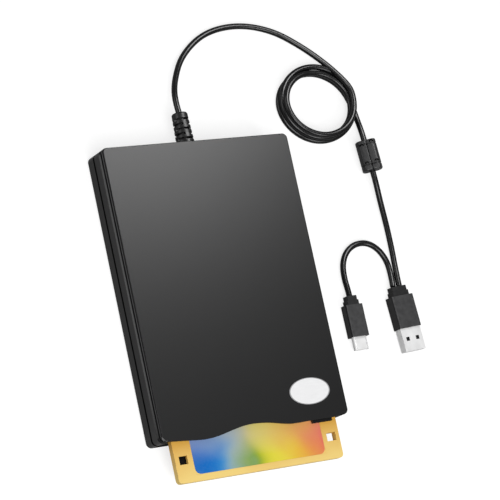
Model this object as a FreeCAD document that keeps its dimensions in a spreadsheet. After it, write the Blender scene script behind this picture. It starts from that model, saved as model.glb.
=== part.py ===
"""External floppy disk drive with its diskette and its USB lead, in millimetres.

Frame: +X to the right seen from the front, +Y from the front face to the rear,
+Z up, origin under the middle of the drive with the diskette in its ejected place.
At rest the diskette stands out of the slot, held up by its raised holder.
"""
import FreeCAD, Part
import math
import os
import re

import Sketcher

V = FreeCAD.Vector
doc = FreeCAD.newDocument("FloppyDrive")

# ---------------------------------------------------------------- driving sizes
SIZES = {
    # how far a cutting tool reaches past the face it cuts, and the gap of a close fit
    "past": 1.0, "fit_gap": 0.1,
    # case
    "foot_height": 0.4, "foot_radius": 4.5, "foot_inset": 9.0, "foot_from_rear": 16.0,
    "wall": 1.5, "corner_r": 2.6, "edge_r": 0.7, "tub_height": 6.5, "parting_gap": 0.9,
    "seam_lip": 0.7, "seam_play": 0.15, "case_gap": 1.7, "usb_bay": 14.5, "head_room": 0.6,
    "groove_drop": 2.5, "groove_height": 0.5, "groove_depth": 0.6, "shoulder_r": 0.5,
    "rib_deep": 0.9, "rib_thick": 1.2, "floor_rib": 0.8,
    "brow_out": 2.5, "brow_room": 0.35, "wave_left": 1.5, "wave_dip": 2.2, "wave_right": 0.5,
    "boss_height": 1.3, "boss_r": 3.2, "screw_r": 1.1, "screw_head_r": 2.2, "screw_head": 0.7,
    "screw_fit": 0.02, "screw_inset": 11.0, "screw_from_rear": 5.0, "screw_bite": 5.0, "screw_spare": 0.5,
    "screw_through": 0.6, "gear_screw_in": 8.2, "gear_screw_front": 19.0, "gear_screw_rear": 104.0,
    # bezel
    "bezel_set_back": 0.4, "bezel_thick": 1.4, "bezel_flange": 2.4, "flange_side": 0.4, "slot_play": 0.3,
    "badge_long": 22.5, "badge_wide": 13.0, "badge_x": 32.0, "badge_depth": 13.6, "badge_thick": 0.35,
    "badge_sunk": 0.25, "badge_play": 0.05,
    # sheet metal and boards
    "base_sheet": 1.0, "base_in": 5.0, "base_rim": 3.0, "drive_window": 6.0,
    "sheet": 0.6, "board_thick": 0.8, "slide_gap": 0.4, "stand_r": 1.6, "stand_in": 3.0, "wall_drop": 0.3,
    # diskette
    "disk_width": 90.0, "disk_length": 94.0, "disk_thick": 3.3, "disk_corner": 2.0, "disk_lead": 46.0,
    "disk_out": 20.0, "disk_play": 0.2, "disk_skin": 0.7, "media_rim": 2.1, "media_nose": 3.1,
    "media_thick": 0.1, "media_play": 0.4, "cavity_play": 0.6, "liner_thick": 0.2, "liner_in": 3.0,
    "hub_r": 12.2, "hub_depth": 1.3, "hub_play": 0.7, "hub_sheet": 0.7, "hub_up": 0.1, "hub_rim": 2.0,
    "hub_floor": 0.3, "drive_hole_back": 3.2, "drive_hole_ahead": 1.2,
    "shutter_left": 18.0, "shutter_right": 26.0, "shutter_long": 30.0, "shutter_sheet": 0.2,
    "shutter_travel": 17.0, "shutter_play": 0.05, "window_half": 4.6, "window_in": 18.5,
    "window_rim": 0.4,
    "hole_half": 2.5, "hole_long": 4.0, "hole_from_side": 4.5, "hole_in": 8.7, "hole_step": 0.3,
    "tab_travel": 4.0, "tab_play": 0.1, "tab_over": 0.6,
    "label_from_side": 9.5, "label_edge": 3.2, "label_long": 52.0, "label_thick": 0.1, "label_r": 3.0,
    "label_play": 0.05, "label_sunk": 0.02,
    # spindle
    "spindle_depth": 48.8, "motor_board_half": 30.0, "board_ahead": 3.0, "board_short": 1.4,
    "rotor_r": 20.0, "rotor_height": 2.8, "rotor_gap": 0.4, "rotor_wall": 0.6, "magnet_thick": 1.6,
    "stator_height": 2.0, "tooth_gap": 0.6, "tooth_wide": 2.0, "tooth_up": 0.6, "tooth_thick": 0.9,
    "winding_end": 1.0, "winding_in": 0.6, "winding_wide": 4.2, "winding_play": 0.05,
    "table_r": 11.5, "table_height": 0.6, "pin_r": 1.95, "pin_height": 0.6, "pin_clear": 0.2,
    "bearing_r": 4.0, "bearing_gap": 0.3, "bearing_floor": 0.6, "shaft_r": 1.5, "shaft_fit": 0.05,
    "shaft_end": 0.2, "drive_pin_r": 0.9, "drive_pin_at": 7.6,
    # loading gear
    "lift": 1.6, "eject_travel": 5.5, "cam_pin_r": 0.8, "cam_play": 0.15, "cam_front": 25.0,
    "cam_rear": 88.0, "cam_drop": 2.1, "cam_pin_out": 0.3, "holder_front": 7.0, "lip_reach": 2.4,
    "lip_drop": 0.2, "arm_opening": 9.0, "arm_opening_at": 66.0, "sight_r": 8.0, "sight_out": 4.0,
    "sight_ahead": 6.0, "eject_front": 10.4, "eject_plate_long": 28.0, "eject_arm_long": 92.0,
    "eject_arm_deep": 9.0, "bridge_gap": 0.2, "stub_in": 2.0, "stub_front": 1.0,
    "button_left": 31.0, "button_width": 11.0, "button_height": 1.3, "button_out": 1.9, "button_deep": 4.0,
    "button_up": 0.15, "button_round": 0.4, "finger_r": 13.0,
    "lever_reach": 30.0, "lever_gap": 3.3, "lever_sheet": 0.5, "lever_pin_r": 1.0, "lever_lift": 0.1,
    "lever_x": 39.4, "lever_half": 2.2, "lever_margin": 4.0, "lever_inset": 3.3, "lever_pivot_r": 0.8,
    "lever_play": 0.05, "lever_ring": 0.5, "lever_pin_up": 0.4, "post_step": 0.4, "post_head": 0.25,
    # head gear
    "head_track": 39.5, "head_travel": 14.8, "head_r": 2.2, "head_height": 0.5, "head_lift": 0.2,
    "carriage_floor": 0.4, "carriage_long": 30.0, "carriage_left": 9.0, "carriage_right": 13.0,
    "carriage_skin": 1.2, "tongue_half": 4.0, "finger_at": 3.0, "finger_long": 3.0, "finger_half": 1.0,
    "finger_play": 0.15, "rod_x": 9.5, "rod_r": 1.25, "rod_up": 2.8, "rod_fit": 0.05, "clip_half": 2.6,
    "clip_long": 1.6, "clip_over": 0.6, "leadscrew_x": -15.0, "leadscrew_r": 1.1, "leadscrew_up": 3.2,
    "leadscrew_spare": 5.7, "leadscrew_clear": 0.6, "stepper_r": 4.1, "stepper_long": 13.0,
    "stepper_at": 16.2, "stepper_room": 1.0, "stepper_cap": 2.2, "stepper_cap_long": 0.8,
    "bearing_half": 2.4, "bearing_long": 2.6, "arm_half": 5.5, "arm_tip_half": 2.4, "arm_neck_half": 3.2,
    "arm_taper": 8.0, "arm_sheet": 0.8, "arm_pivot_at": 24.7, "arm_clear": 0.9, "barrel_r": 0.75,
    "barrel_pin_r": 0.3, "ear_gap": 0.3, "ear_thick": 1.3, "ear_half": 1.2, "gear_rear": 77.2,
    # boards and switches
    "board_lift": 1.2, "main_board_left": 17.0, "main_board_side": 1.2, "main_board_at": 98.0,
    "main_board_long": 24.0, "chip_wide": 11.0, "chip_side": 7.0, "chip_high": 1.2, "memory_wide": 5.0,
    "memory_long": 8.0, "memory_side": 3.0, "usb_board_half": 27.0, "usb_board_at": 127.5,
    "usb_board_long": 10.0, "usb_board_up": 3.0, "usb_chip_in": 1.5, "usb_chip_high": 1.0,
    "crystal_long": 11.0, "crystal_high": 2.4, "coil_side": 4.0, "coil_case": 1.6,
    "switch_half": 2.0, "switch_long": 2.5, "switch_down": 0.8, "plunger_r": 0.9, "plunger_down": 0.1,
    "light_from_hole": 5.5, "light_up": 2.4, "light_r": 1.1, "light_long": 8.0, "light_collar": 0.6,
    "lamp_half": 2.0, "lamp_long": 2.5,
    # lead
    "relief_r": 4.5, "relief_end_r": 3.9, "relief_long": 16.5, "relief_up": 2.1, "relief_x": -1.1,
    "relief_neck_r": 3.6, "relief_flange_r": 5.2, "relief_flange": 1.2, "relief_round": 1.0,
    "relief_collar": 1.6, "relief_first": 2.4, "relief_pitch": 4.9, "relief_slot": 1.2,
    "relief_core_r": 2.6, "relief_bridge": 1.0, "cord_r": 1.5,
    "coil_x": 81.5, "coil_y": 99.0, "coil_out_x": 23.4, "coil_out_y": 21.0, "coil_wide": 6.8,
    "coil_high": 6.2,
    "ferrite_x": 104.2, "ferrite_y": 68.8, "ferrite_long": 15.8, "ferrite_wide": 9.4, "ferrite_high": 9.4,
    "ferrite_yaw": 3.1, "ferrite_split": 0.1, "ferrite_round": 3.2, "ferrite_ease": 1.0,
    "ferrite_end": 0.6, "ferrite_seat": 1.0,
    "usb_a_x": 103.8, "usb_a_y": 0.2, "usb_a_yaw": 3.1, "usb_a_wide": 13.2, "usb_a_high": 6.6,
    "usb_a_grip": 16.6, "usb_a_neck": 5.0, "usb_a_neck_wide": 8.4, "usb_a_neck_high": 4.6,
    "usb_a_shell_wide": 12.0, "usb_a_shell_high": 4.5, "usb_a_shell_long": 11.8, "usb_a_sheet": 0.35,
    "usb_a_tongue": 1.9, "usb_a_hole": 2.0, "usb_a_hole_at": 2.9, "usb_a_hole_in": 5.2,
    "usb_c_x": 75.7, "usb_c_y": -1.5, "usb_c_yaw": 0.0, "usb_c_wide": 10.2, "usb_c_high": 5.4,
    "usb_c_grip": 16.2, "usb_c_neck": 4.6, "usb_c_neck_wide": 5.4, "usb_c_neck_high": 4.2,
    "usb_c_shell_wide": 8.25, "usb_c_shell_high": 2.4, "usb_c_shell_long": 6.6, "usb_c_sheet": 0.3,
    "usb_c_tongue": 0.7, "plug_round": 0.9, "neck_step": 1.0, "mouth_floor": 0.6, "tongue_in": 1.0,
}

# Sizes worked out from the driving ones: heights from the floor, widths from the
# middle, depths from the front face.
WORKED = {
    "shell_bottom": "foot_height",
    "floor_top": "shell_bottom + wall",
    "parting": "shell_bottom + tub_height",
    "cover_bottom": "parting + parting_gap",
    "base_bottom": "floor_top + boss_height",
    "base_top": "base_bottom + base_sheet",
    "board_top": "base_top + board_thick",
    "rotor_bottom": "board_top + rotor_gap",
    "rotor_top": "rotor_bottom + rotor_height",
    "table_top": "rotor_top + table_height",
    "pin_top": "table_top + pin_height",
    "disk_bottom": "pin_top + pin_clear + lift",
    "disk_top": "disk_bottom + disk_thick",
    "plate_bottom": "disk_top + disk_play",
    "plate_top": "plate_bottom + sheet",
    "lever_bottom": "plate_top + lever_lift",
    "lever_top": "lever_bottom + lever_sheet",
    "lid_under": "lever_top + head_room",
    "shell_top": "lid_under + wall",
    "slot_bottom": "disk_bottom - lift - slot_play",
    "slot_top": "disk_top + slot_play",
    "holder_in": "disk_width/2 + disk_play",
    "holder_out": "holder_in + sheet",
    "arm_in": "holder_out + slide_gap",
    "arm_out": "arm_in + sheet",
    "wall_in": "arm_out + slide_gap",
    "wall_out": "wall_in + sheet",
    "case_in": "wall_out + case_gap",
    "case_half": "case_in + wall",
    "gear_depth": "spindle_depth + gear_rear",
    "case_depth": "gear_depth + usb_bay + wall",
    "front": "(disk_out - case_depth)/2",
    "base_front": "front + base_in",
    "gear_end": "front + gear_depth",
    "bezel_rear": "front + bezel_set_back + bezel_thick + bezel_flange",
    "rear": "front + case_depth",
    "spindle_y": "front + spindle_depth",
    "disk_travel": "disk_out + spindle_depth + disk_lead - disk_length",
    "media_r": "min(disk_width/2 - media_rim; disk_lead - media_nose)",
    "window_out": "media_r - window_rim",
    "hole_x": "disk_width/2 - hole_from_side",
    "label_half": "disk_width/2 - label_from_side",
    "main_board_right": "wall_in - main_board_side",
    "gear_screw_x": "wall_in - gear_screw_in",
    "gear_window_x": "gear_screw_x - base_in",
    "disk_tail": "front - disk_out",
    "disk_nose": "disk_tail + disk_length",
    "hub_y": "disk_nose - disk_lead",
    "holder_y": "front + holder_front",
    "holder_end": "lever_y + lever_inset",
    "cam_z": "plate_top - lip_drop - cam_drop - cam_pin_r",
    "head_y": "spindle_y + head_track",
    "arm_bottom": "disk_top + head_lift + head_height",
    "pivot_y": "head_y + arm_pivot_at",
    "carriage_end": "head_y + carriage_long - finger_long",
    "eject_y": "front + eject_front",
    "lever_half_swing": "asin(sqrt(shutter_travel^2 + disk_travel^2) / (2*lever_reach)) / 1deg",
    "lever_y": "disk_nose + lever_gap + lever_reach*sin(1deg*(lever_middle + lever_half_swing - 180))",
    "leadscrew_z": "base_top + leadscrew_up",
    "leadscrew_y": "head_y + finger_at - head_travel - leadscrew_spare",
    "stepper_y": "head_y + stepper_at",
    "rod_z": "base_top + rod_up",
    "rod_y": "spindle_y + rotor_r - clip_over",
    "carriage_top": "table_top",
    "carriage_bottom": "board_top + carriage_floor",
    "pivot_z": "arm_bottom + arm_sheet/2",
    "relief_z": "parting + relief_up",
    "groove_z": "shell_top - groove_drop",
    "light_x": "light_from_hole - hole_x",
    "light_z": "base_top + light_up",
    "lip_bottom": "disk_bottom - disk_play - sheet",
    "wall_top": "plate_bottom - wall_drop",
    "bridge_bottom": "plate_top + bridge_gap",
    "button_bottom": "slot_top + button_up",
    "main_board_y": "front + main_board_at",
    "usb_board_y": "front + usb_board_at",
    "usb_board_z": "floor_top + usb_board_up",
    "switch_y": "front + disk_travel - disk_out + hole_in + hole_long/2",
    "disk_middle": "disk_bottom + disk_thick/2",
    "lever_middle": "180 + atan(shutter_travel / disk_travel) / 1deg",
}

sheet = doc.addObject("Spreadsheet::Sheet", "Dims")
for row, (alias, value) in enumerate(SIZES.items(), start=1):
    sheet.set(f"A{row}", alias.replace("_", " "))
    sheet.set(f"B{row}", str(value))
    sheet.setAlias(f"B{row}", alias)


def bound(formula):
    """Point the names in a formula at the sheet and at the worked sizes."""
    def place(match):
        name = match.group(0)
        if name in SIZES:
            return "Dims." + name
        return "Worked." + name if name in WORKED else name
    return re.sub(r"[a-z][a-z_]*", place, str(formula))


worked = doc.addObject("App::VarSet", "Worked")
for name, formula in WORKED.items():
    worked.addProperty("App::PropertyFloat", name)
for name, formula in WORKED.items():
    worked.setExpression(name, bound(formula))
probe = doc.addObject("App::VarSet", "Probe")
probe.addProperty("App::PropertyFloat", "worth")
doc.recompute()


def worth(formula):
    """The present value of a formula, for first guesses and for free-form shapes."""
    probe.setExpression("worth", bound(formula))
    probe.recompute()
    return probe.worth


# ---------------------------------------------------------------- small tools
NODES = []


def node(label, thing):
    """Name a finished piece; each named piece is written as one file."""
    thing.Label = label
    NODES.append(thing)
    return thing


def put(thing, x="0", y="0", z="0"):
    """Bind the place of a piece."""
    thing.setExpression(".Placement.Base.x", bound(x))
    thing.setExpression(".Placement.Base.y", bound(y))
    thing.setExpression(".Placement.Base.z", bound(z))
    return thing


def block(x, y, z):
    """A box between two formulas along each axis."""
    box = doc.addObject("Part::Box", "Block")
    for side, (low, high) in zip(("Length", "Width", "Height"), (x, y, z)):
        box.setExpression(side, bound(f"({high}) - ({low})"))
    return put(box, x[0], y[0], z[0])


def both(x, y, z):
    """The same box on the right and, mirrored, on the left."""
    return [block(x, y, z), block((f"-({x[1]})", f"-({x[0]})"), y, z)]


def bar(radius, x, y, z, along="z"):
    """A round bar; the coordinate along its axis is a pair of formulas."""
    ends = {"x": x, "y": y, "z": z}
    low, high = ends[along]
    ends[along] = low
    turn = {"x": FreeCAD.Rotation(V(0, 1, 0), 90), "y": FreeCAD.Rotation(V(1, 0, 0), -90),
            "z": FreeCAD.Rotation()}[along]
    cylinder = doc.addObject("Part::Cylinder", "Bar")
    cylinder.Placement = FreeCAD.Placement(V(), turn)
    cylinder.setExpression("Radius", bound(radius))
    cylinder.setExpression("Height", bound(f"({high}) - ({low})"))
    return put(cylinder, ends["x"], ends["y"], ends["z"])


def fuse(*pieces):
    """One solid from pieces that touch."""
    union = doc.addObject("Part::MultiFuse", "Fuse")
    union.Shapes = list(pieces)
    union.Refine = True
    return union


def group(*pieces):
    """Separate solids kept as one piece."""
    compound = doc.addObject("Part::Compound", "Group")
    compound.Links = list(pieces)
    return compound


def cut(base, *tools):
    """A piece with other shapes taken away."""
    result = doc.addObject("Part::Cut", "Cut")
    result.Base = base
    result.Tool = tools[0] if len(tools) == 1 else group(*tools)
    result.Refine = True
    return result


def common(one, other):
    """What two shapes share."""
    result = doc.addObject("Part::Common", "Common")
    result.Base = one
    result.Tool = other
    return result


# ---------------------------------------------------------------- sketched bodies
def new_body(label):
    return doc.addObject("PartDesign::Body", label)


def sketch(body, level, plane="XY_Plane"):
    """A sketch on an origin plane of its body, raised along the plane's normal."""
    drawn = body.newObject("Sketcher::SketchObject", "Sketch")
    support = [item for item in body.Origin.OriginFeatures if item.Role == plane][0]
    drawn.AttachmentSupport = [(support, "")]
    drawn.MapMode = "FlatFace"
    drawn.setExpression(".AttachmentOffset.Base.z", bound(level))
    return drawn


def fix_point(drawn, edge, end, x, y):
    """Tie a sketch point to the sketch origin by two bound distances."""
    for kind, formula in (("DistanceX", x), ("DistanceY", y)):
        tie = Sketcher.Constraint(kind, -1, 1, edge, end, worth(formula))
        index = drawn.addConstraint(tie)
        drawn.setExpression(f"Constraints[{index}]", bound(formula))


def polygon(drawn, corners):
    """A closed outline through bound corners."""
    points = [V(worth(x), worth(y), 0) for x, y in corners]
    start = drawn.GeometryCount
    count = len(corners)
    for i in range(count):
        drawn.addGeometry(Part.LineSegment(points[i], points[(i + 1) % count]))
    for i in range(count):
        after = start + (i + 1) % count
        drawn.addConstraint(Sketcher.Constraint("Coincident", start + i, 2, after, 1))
    for i, (x, y) in enumerate(corners):
        fix_point(drawn, start + i, 1, x, y)
    return drawn


def rectangle(drawn, x, y):
    return polygon(drawn, [(x[0], y[0]), (x[1], y[0]), (x[1], y[1]), (x[0], y[1])])


def circle(drawn, x, y, radius):
    """A circle with a bound centre and radius."""
    edge = drawn.addGeometry(Part.Circle(V(worth(x), worth(y), 0), V(0, 0, 1), worth(radius)))
    fix_point(drawn, edge, 3, x, y)
    index = drawn.addConstraint(Sketcher.Constraint("Radius", edge, worth(radius)))
    drawn.setExpression(f"Constraints[{index}]", bound(radius))
    return drawn


def pad(body, drawn, height):
    """Raise a sketch upwards."""
    feature = body.newObject("PartDesign::Pad", "Pad")
    feature.Profile = drawn
    feature.setExpression("Length", bound(height))
    body.Tip = feature
    return feature


def pocket(body, drawn, height):
    """Take the sketch away upwards from its level; the volume must drop."""
    doc.recompute()
    before = body.Shape.Volume
    feature = body.newObject("PartDesign::Pocket", "Pocket")
    feature.Profile = drawn
    feature.Reversed = True
    feature.setExpression("Length", bound(height))
    body.Tip = feature
    doc.recompute()
    if body.Shape.Volume >= before:
        raise ValueError(f"a pocket of {body.Label} takes nothing away")
    return feature


def round_edges(body, radius, chosen, kind="PartDesign::Fillet"):
    """Round or bevel the edges of a body that the chooser picks."""
    doc.recompute()
    tip = body.Tip
    names = [f"Edge{i}" for i, edge in enumerate(tip.Shape.Edges, start=1) if chosen(edge)]
    feature = body.newObject(kind, "Rounding")
    feature.Base = (tip, names)
    feature.setExpression("Radius" if kind.endswith("Fillet") else "Size", bound(radius))
    body.Tip = feature
    return feature


def upright_at(x, y, slack=0.01):
    """Chooser for upright edges whose distance from the axes is |x|, and y is in a set."""
    wide = worth(x)
    rows = [worth(item) for item in y]

    def chosen(edge):
        box = edge.BoundBox
        if box.XLength > slack or box.YLength > slack or box.ZLength < slack:
            return False
        return abs(abs(box.XMin) - wide) < slack and any(abs(box.YMin - row) < slack for row in rows)
    return chosen


def level_at(z, slack=0.01):
    """Chooser for every edge lying at one height."""
    height = worth(z)
    return lambda edge: abs(edge.BoundBox.ZMin - height) < slack and abs(edge.BoundBox.ZMax - height) < slack


# ---------------------------------------------------------------- case
CASE_SCREWS = [("case_half - screw_inset", "rear - wall - screw_from_rear"),
               ("screw_inset - case_half", "rear - wall - screw_from_rear")]
GEAR_SCREWS = [("gear_screw_x", "front + gear_screw_front"), ("gear_screw_x", "front + gear_screw_rear"),
               ("-gear_screw_x", "front + gear_screw_front"), ("-gear_screw_x", "front + gear_screw_rear")]
OPENING_HALF = "(case_half - corner_r)"
WAVE = [(-1.0, "0"), (-0.95, "-0.13*wave_left"), (-0.79, "-0.53*wave_left"), (-0.60, "-wave_left"),
        (-0.43, "-0.6*wave_left"), (-0.27, "0.36*wave_dip"), (-0.08, "wave_dip"), (0.08, "0.91*wave_dip"),
        (0.23, "0.41*wave_dip"), (0.37, "-0.8*wave_right"), (0.54, "-wave_right"), (0.74, "-0.8*wave_right"),
        (0.89, "-0.8*wave_right"), (1.0, "0")]


def wave_column(room):
    """Everything behind the waved front edge, as a tall column set back by some room.

    The edge runs out to the left of the middle, dips in at the middle for the finger
    and comes out a little again to its right. WAVE gives its points as shares of half
    the opening's width and as shares of those three depths.
    """
    face = worth("front") + worth(room)
    reach = worth(OPENING_HALF)
    curve = Part.BSplineCurve()
    curve.interpolate([V(share * reach, face + worth(depth), 0) for share, depth in WAVE])
    beside, far = worth("case_half + 5*past"), worth("rear + 5*past")
    path = [curve.EndPoint, V(beside, curve.EndPoint.y, 0), V(beside, far, 0), V(-beside, far, 0),
            V(-beside, curve.StartPoint.y, 0), curve.StartPoint]
    edges = [curve.toShape()] + [Part.makeLine(a, b) for a, b in zip(path, path[1:])]
    column = doc.addObject("Part::Feature", "WaveColumn")
    column.Shape = Part.Face(Part.Wire(edges)).extrude(V(0, 0, worth("shell_top + past")))
    return column


def relief_bore():
    return bar("relief_neck_r + fit_gap", "relief_x", ("rear - wall - past", "rear + past"), "relief_z", "y")


def front_opening():
    """The gap in both covers that the bezel closes."""
    return block((f"-{OPENING_HALF}", OPENING_HALF), ("front - past", "front + wall + past"),
                 ("floor_top", "lid_under"))


def shell_body(label, bottom, top, floor, ceiling):
    """A rounded box shell between two heights, hollow between floor and ceiling."""
    body = new_body(label)
    outline = rectangle(sketch(body, bottom), ("-case_half", "case_half"), ("front", "rear"))
    pad(body, outline, f"{top} - ({bottom})")
    round_edges(body, "corner_r", upright_at("case_half", ("front", "rear")))
    outer = "shell_bottom" if bottom == "shell_bottom" else "shell_top"
    round_edges(body, "edge_r", level_at(outer))
    hollow = rectangle(sketch(body, floor), ("-case_in", "case_in"), ("front + wall", "rear - wall"))
    pocket(body, hollow, f"{ceiling} - ({floor})")
    round_edges(body, "corner_r - wall", upright_at("case_in", ("front + wall", "rear - wall")))
    return body


def edge_step(low, high, depth):
    """What a step round the case takes away: everything outside an inset core between two heights.

    Just under the step the wall turns in over a rounded shoulder.
    """
    around = block(("-case_half - past", "case_half + past"), ("front - past", "rear + past"),
                   (f"{low} - shoulder_r", high))
    cores = []
    for inset, bottom, top in (("0", f"{low} - shoulder_r - past", low),
                               (depth, f"{low} - past", f"{high} + past")):
        core = new_body("StepCore")
        outline = rectangle(sketch(core, bottom), (f"{inset} - case_half", f"case_half - {inset}"),
                            (f"front + {inset}", f"rear - {inset}"))
        pad(core, outline, f"{top} - ({bottom})")
        round_edges(core, f"corner_r - {inset}",
                    upright_at(f"case_half - {inset}", (f"front + {inset}", f"rear - {inset}")))
        if inset == "0":
            round_edges(core, "shoulder_r", level_at(top))
        cores.append(core)
    return cut(around, *cores)


def make_bottom_cover():
    """The tub: an inner lip stands up past the dark seam, bosses carry the screws."""
    lip_top = "cover_bottom - seam_play"
    body = shell_body("BottomShell", "shell_bottom", lip_top, "floor_top", lip_top)
    for x, y in CASE_SCREWS + GEAR_SCREWS:
        height = f"{lip_top} - floor_top" if (x, y) in CASE_SCREWS else "boss_height"
        pad(body, circle(sketch(body, "floor_top"), x, y, "boss_r"), height)
    for x in ("stand_in - usb_board_half", "usb_board_half - 2*stand_in"):
        stand = rectangle(sketch(body, "floor_top"), (x, f"{x} + stand_in"),
                          ("usb_board_y + stand_in", "usb_board_y + 2*stand_in"))
        pad(body, stand, "usb_board_z - floor_top")
    for share in (0.25, 0.45, 0.65):
        y = f"front + {share}*case_depth"
        rib = rectangle(sketch(body, "floor_top"), ("-case_in", "case_in"), (y, f"{y} + rib_thick"))
        pad(body, rib, "floor_rib")
    for x, y in CASE_SCREWS + GEAR_SCREWS:
        pocket(body, circle(sketch(body, "shell_bottom"), x, y, "screw_head_r + fit_gap"),
               "screw_head + fit_gap")
        pocket(body, circle(sketch(body, "shell_bottom"), x, y, "screw_r + fit_gap"),
               f"{lip_top} - shell_bottom")
    seam = edge_step("parting", "cover_bottom + past", "(wall - seam_lip)")
    node("bottom_cover", cut(body, front_opening(), relief_bore(), seam))


def make_top_cover():
    """The lid with its skirt; its brow reaches over the bezel and follows the wave."""
    body = shell_body("TopShell", "cover_bottom", "shell_top", "cover_bottom", "lid_under")
    for x, y in CASE_SCREWS:
        pad(body, circle(sketch(body, "cover_bottom"), x, y, "boss_r"), "lid_under - cover_bottom")
        pocket(body, circle(sketch(body, "cover_bottom"), x, y, "screw_r"), "screw_bite")
    ribs = []
    for share in (0.2, 0.4, 0.6, 0.8):
        middle = f"front + {share}*case_depth"
        ribs += both(("case_in - rib_deep", "case_in + fit_gap"),
                     (f"{middle} - rib_thick/2", f"{middle} + rib_thick/2"),
                     ("cover_bottom", "lid_under + fit_gap"))
    brow = block((f"-{OPENING_HALF}", OPENING_HALF), ("front - brow_out", "front + corner_r"),
                 ("lid_under", "shell_top"))
    badge_seat = ellipse_plate("badge_long/2 + badge_play", "badge_wide/2 + badge_play",
                               "shell_top - badge_sunk", "past")
    groove = edge_step("groove_z", "groove_z + groove_height", "groove_depth")
    opened = cut(fuse(body, *ribs), front_opening(), relief_bore(), groove)
    lid = common(fuse(opened, brow), wave_column("0"))
    node("top_cover", cut(lid, badge_seat))


def ellipse_plate(long_half, wide_half, bottom, height):
    """A flat oval where the badge lies."""
    outline = doc.addObject("Part::Ellipse", "Oval")
    outline.setExpression("MajorRadius", bound(long_half))
    outline.setExpression("MinorRadius", bound(wide_half))
    put(outline, "badge_x", "front + badge_depth", bottom)
    raised = doc.addObject("Part::Extrusion", "OvalPlate")
    raised.Base = outline
    raised.DirMode = "Custom"
    raised.Dir = V(0, 0, 1)
    raised.Solid = True
    raised.setExpression("LengthFwd", bound(height))
    return raised


def make_case_trim():
    node("badge", ellipse_plate("badge_long/2", "badge_wide/2", "shell_top - badge_sunk", "badge_thick"))
    feet = [bar("foot_radius", side + "(case_half - foot_inset)", y, ("0", "foot_height"))
            for side in ("", "-") for y in ("front + foot_inset", "rear - foot_from_rear")]
    node("rubber_feet", group(*feet))
    node("case_screws", screws(CASE_SCREWS, "cover_bottom + screw_bite - screw_spare"))
    node("chassis_screws", screws(GEAR_SCREWS, "base_top + screw_through"))


def screws(places, top):
    """Plain screws with cylinder heads, from the bottom cover's counterbores up to a height."""
    return group(*[fuse(bar("screw_head_r", x, y, ("shell_bottom + fit_gap", "shell_bottom + screw_head")),
                        bar("screw_r - screw_fit", x, y, ("shell_bottom + fit_gap", top)))
                   for x, y in places])


def make_bezel():
    """The slot plate behind the brow, with the button's gap and the light's bore."""
    body = new_body("BezelPlate")
    low, high = "floor_top + fit_gap", "lid_under - floor_top - 2*fit_gap"
    face = rectangle(sketch(body, low), (f"fit_gap - {OPENING_HALF}", f"{OPENING_HALF} - fit_gap"),
                     ("front + bezel_set_back", "front + bezel_set_back + bezel_thick"))
    pad(body, face, high)
    flange = rectangle(sketch(body, low), (f"-{OPENING_HALF} - flange_side", f"{OPENING_HALF} + flange_side"),
                       ("front + bezel_set_back + bezel_thick - fit_gap", "bezel_rear"))
    pad(body, flange, high)
    through = ("front - past", "bezel_rear + past")
    slot = block(("-disk_width/2 - slot_play", "disk_width/2 + slot_play"), through,
                 ("slot_bottom", "slot_top"))
    button_gap = block(("button_left - slot_play", "button_left + button_width + slot_play"), through,
                       ("slot_top - past", "lid_under"))
    light_bore = bar("light_r + fit_gap", "light_x", through, "light_z", "y")
    node("front_bezel", common(cut(body, slot, button_gap, light_bore), wave_column("brow_room")))
    pipe = fuse(bar("light_r", "light_x", ("front + bezel_set_back", "front + light_long"), "light_z", "y"),
                bar("light_r + light_collar", "light_x", ("bezel_rear + fit_gap", "front + light_long"),
                    "light_z", "y"))
    node("light_pipe", pipe)


# ---------------------------------------------------------------- chassis
def cam_rows():
    """How deep the two rows of cam pins and slots lie."""
    return ["front + cam_front", "front + cam_rear"]


def make_chassis():
    """A pressed tray: base plate, two side walls with upright cam slots, motor bracket."""
    body = new_body("ChassisBase")
    plate = rectangle(sketch(body, "base_bottom"), ("-wall_out", "wall_out"), ("base_front", "gear_end"))
    pad(body, plate, "base_sheet")
    pocket(body, circle(sketch(body, "base_bottom"), "0", "spindle_y", "bearing_r"), "base_sheet")
    beside_stepper = ("leadscrew_x - stepper_r - stepper_room", "leadscrew_x + stepper_r + stepper_room/2")
    windows = [(("-gear_window_x", "gear_window_x"),
                ("base_front + base_rim", "spindle_y - rotor_r - board_ahead - past")),
               (beside_stepper, ("stepper_y", "stepper_y + stepper_long + stepper_room")),
               (("-drive_window", "drive_window"), ("head_y + finger_at", "gear_end - base_in"))]
    for x, y in windows:
        pocket(body, rectangle(sketch(body, "base_bottom"), x, y), "base_sheet")
    for x, y in GEAR_SCREWS:
        pocket(body, circle(sketch(body, "base_bottom"), x, y, "screw_r"), "base_sheet")
    for x in ("main_board_left + stand_in", "main_board_right - stand_in"):
        for y in ("main_board_y + stand_in", "main_board_y + main_board_long - stand_in"):
            pad(body, circle(sketch(body, "base_top"), x, y, "stand_r"), "board_lift")
    walls = both(("wall_in", "wall_out"), ("base_front", "gear_end"), ("base_bottom", "wall_top"))
    bracket = block(beside_stepper, ("stepper_y - sheet - shaft_fit", "stepper_y - shaft_fit"),
                    ("base_bottom", "leadscrew_z + stepper_r"))
    slots = []
    for y in cam_rows():
        slots += both(("wall_in - past", "wall_out + past"),
                      (f"{y} - cam_pin_r - cam_play", f"{y} + cam_pin_r + cam_play"),
                      ("cam_z - lift - cam_pin_r - cam_play", "wall_top + past"))
    screw_hole = bar("leadscrew_r + leadscrew_clear", "leadscrew_x",
                     ("stepper_y - 2*past", "stepper_y + past"), "leadscrew_z", "y")
    node("chassis", cut(fuse(body, bracket, *walls), screw_hole, *slots))


STATOR_POLES = 9


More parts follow.
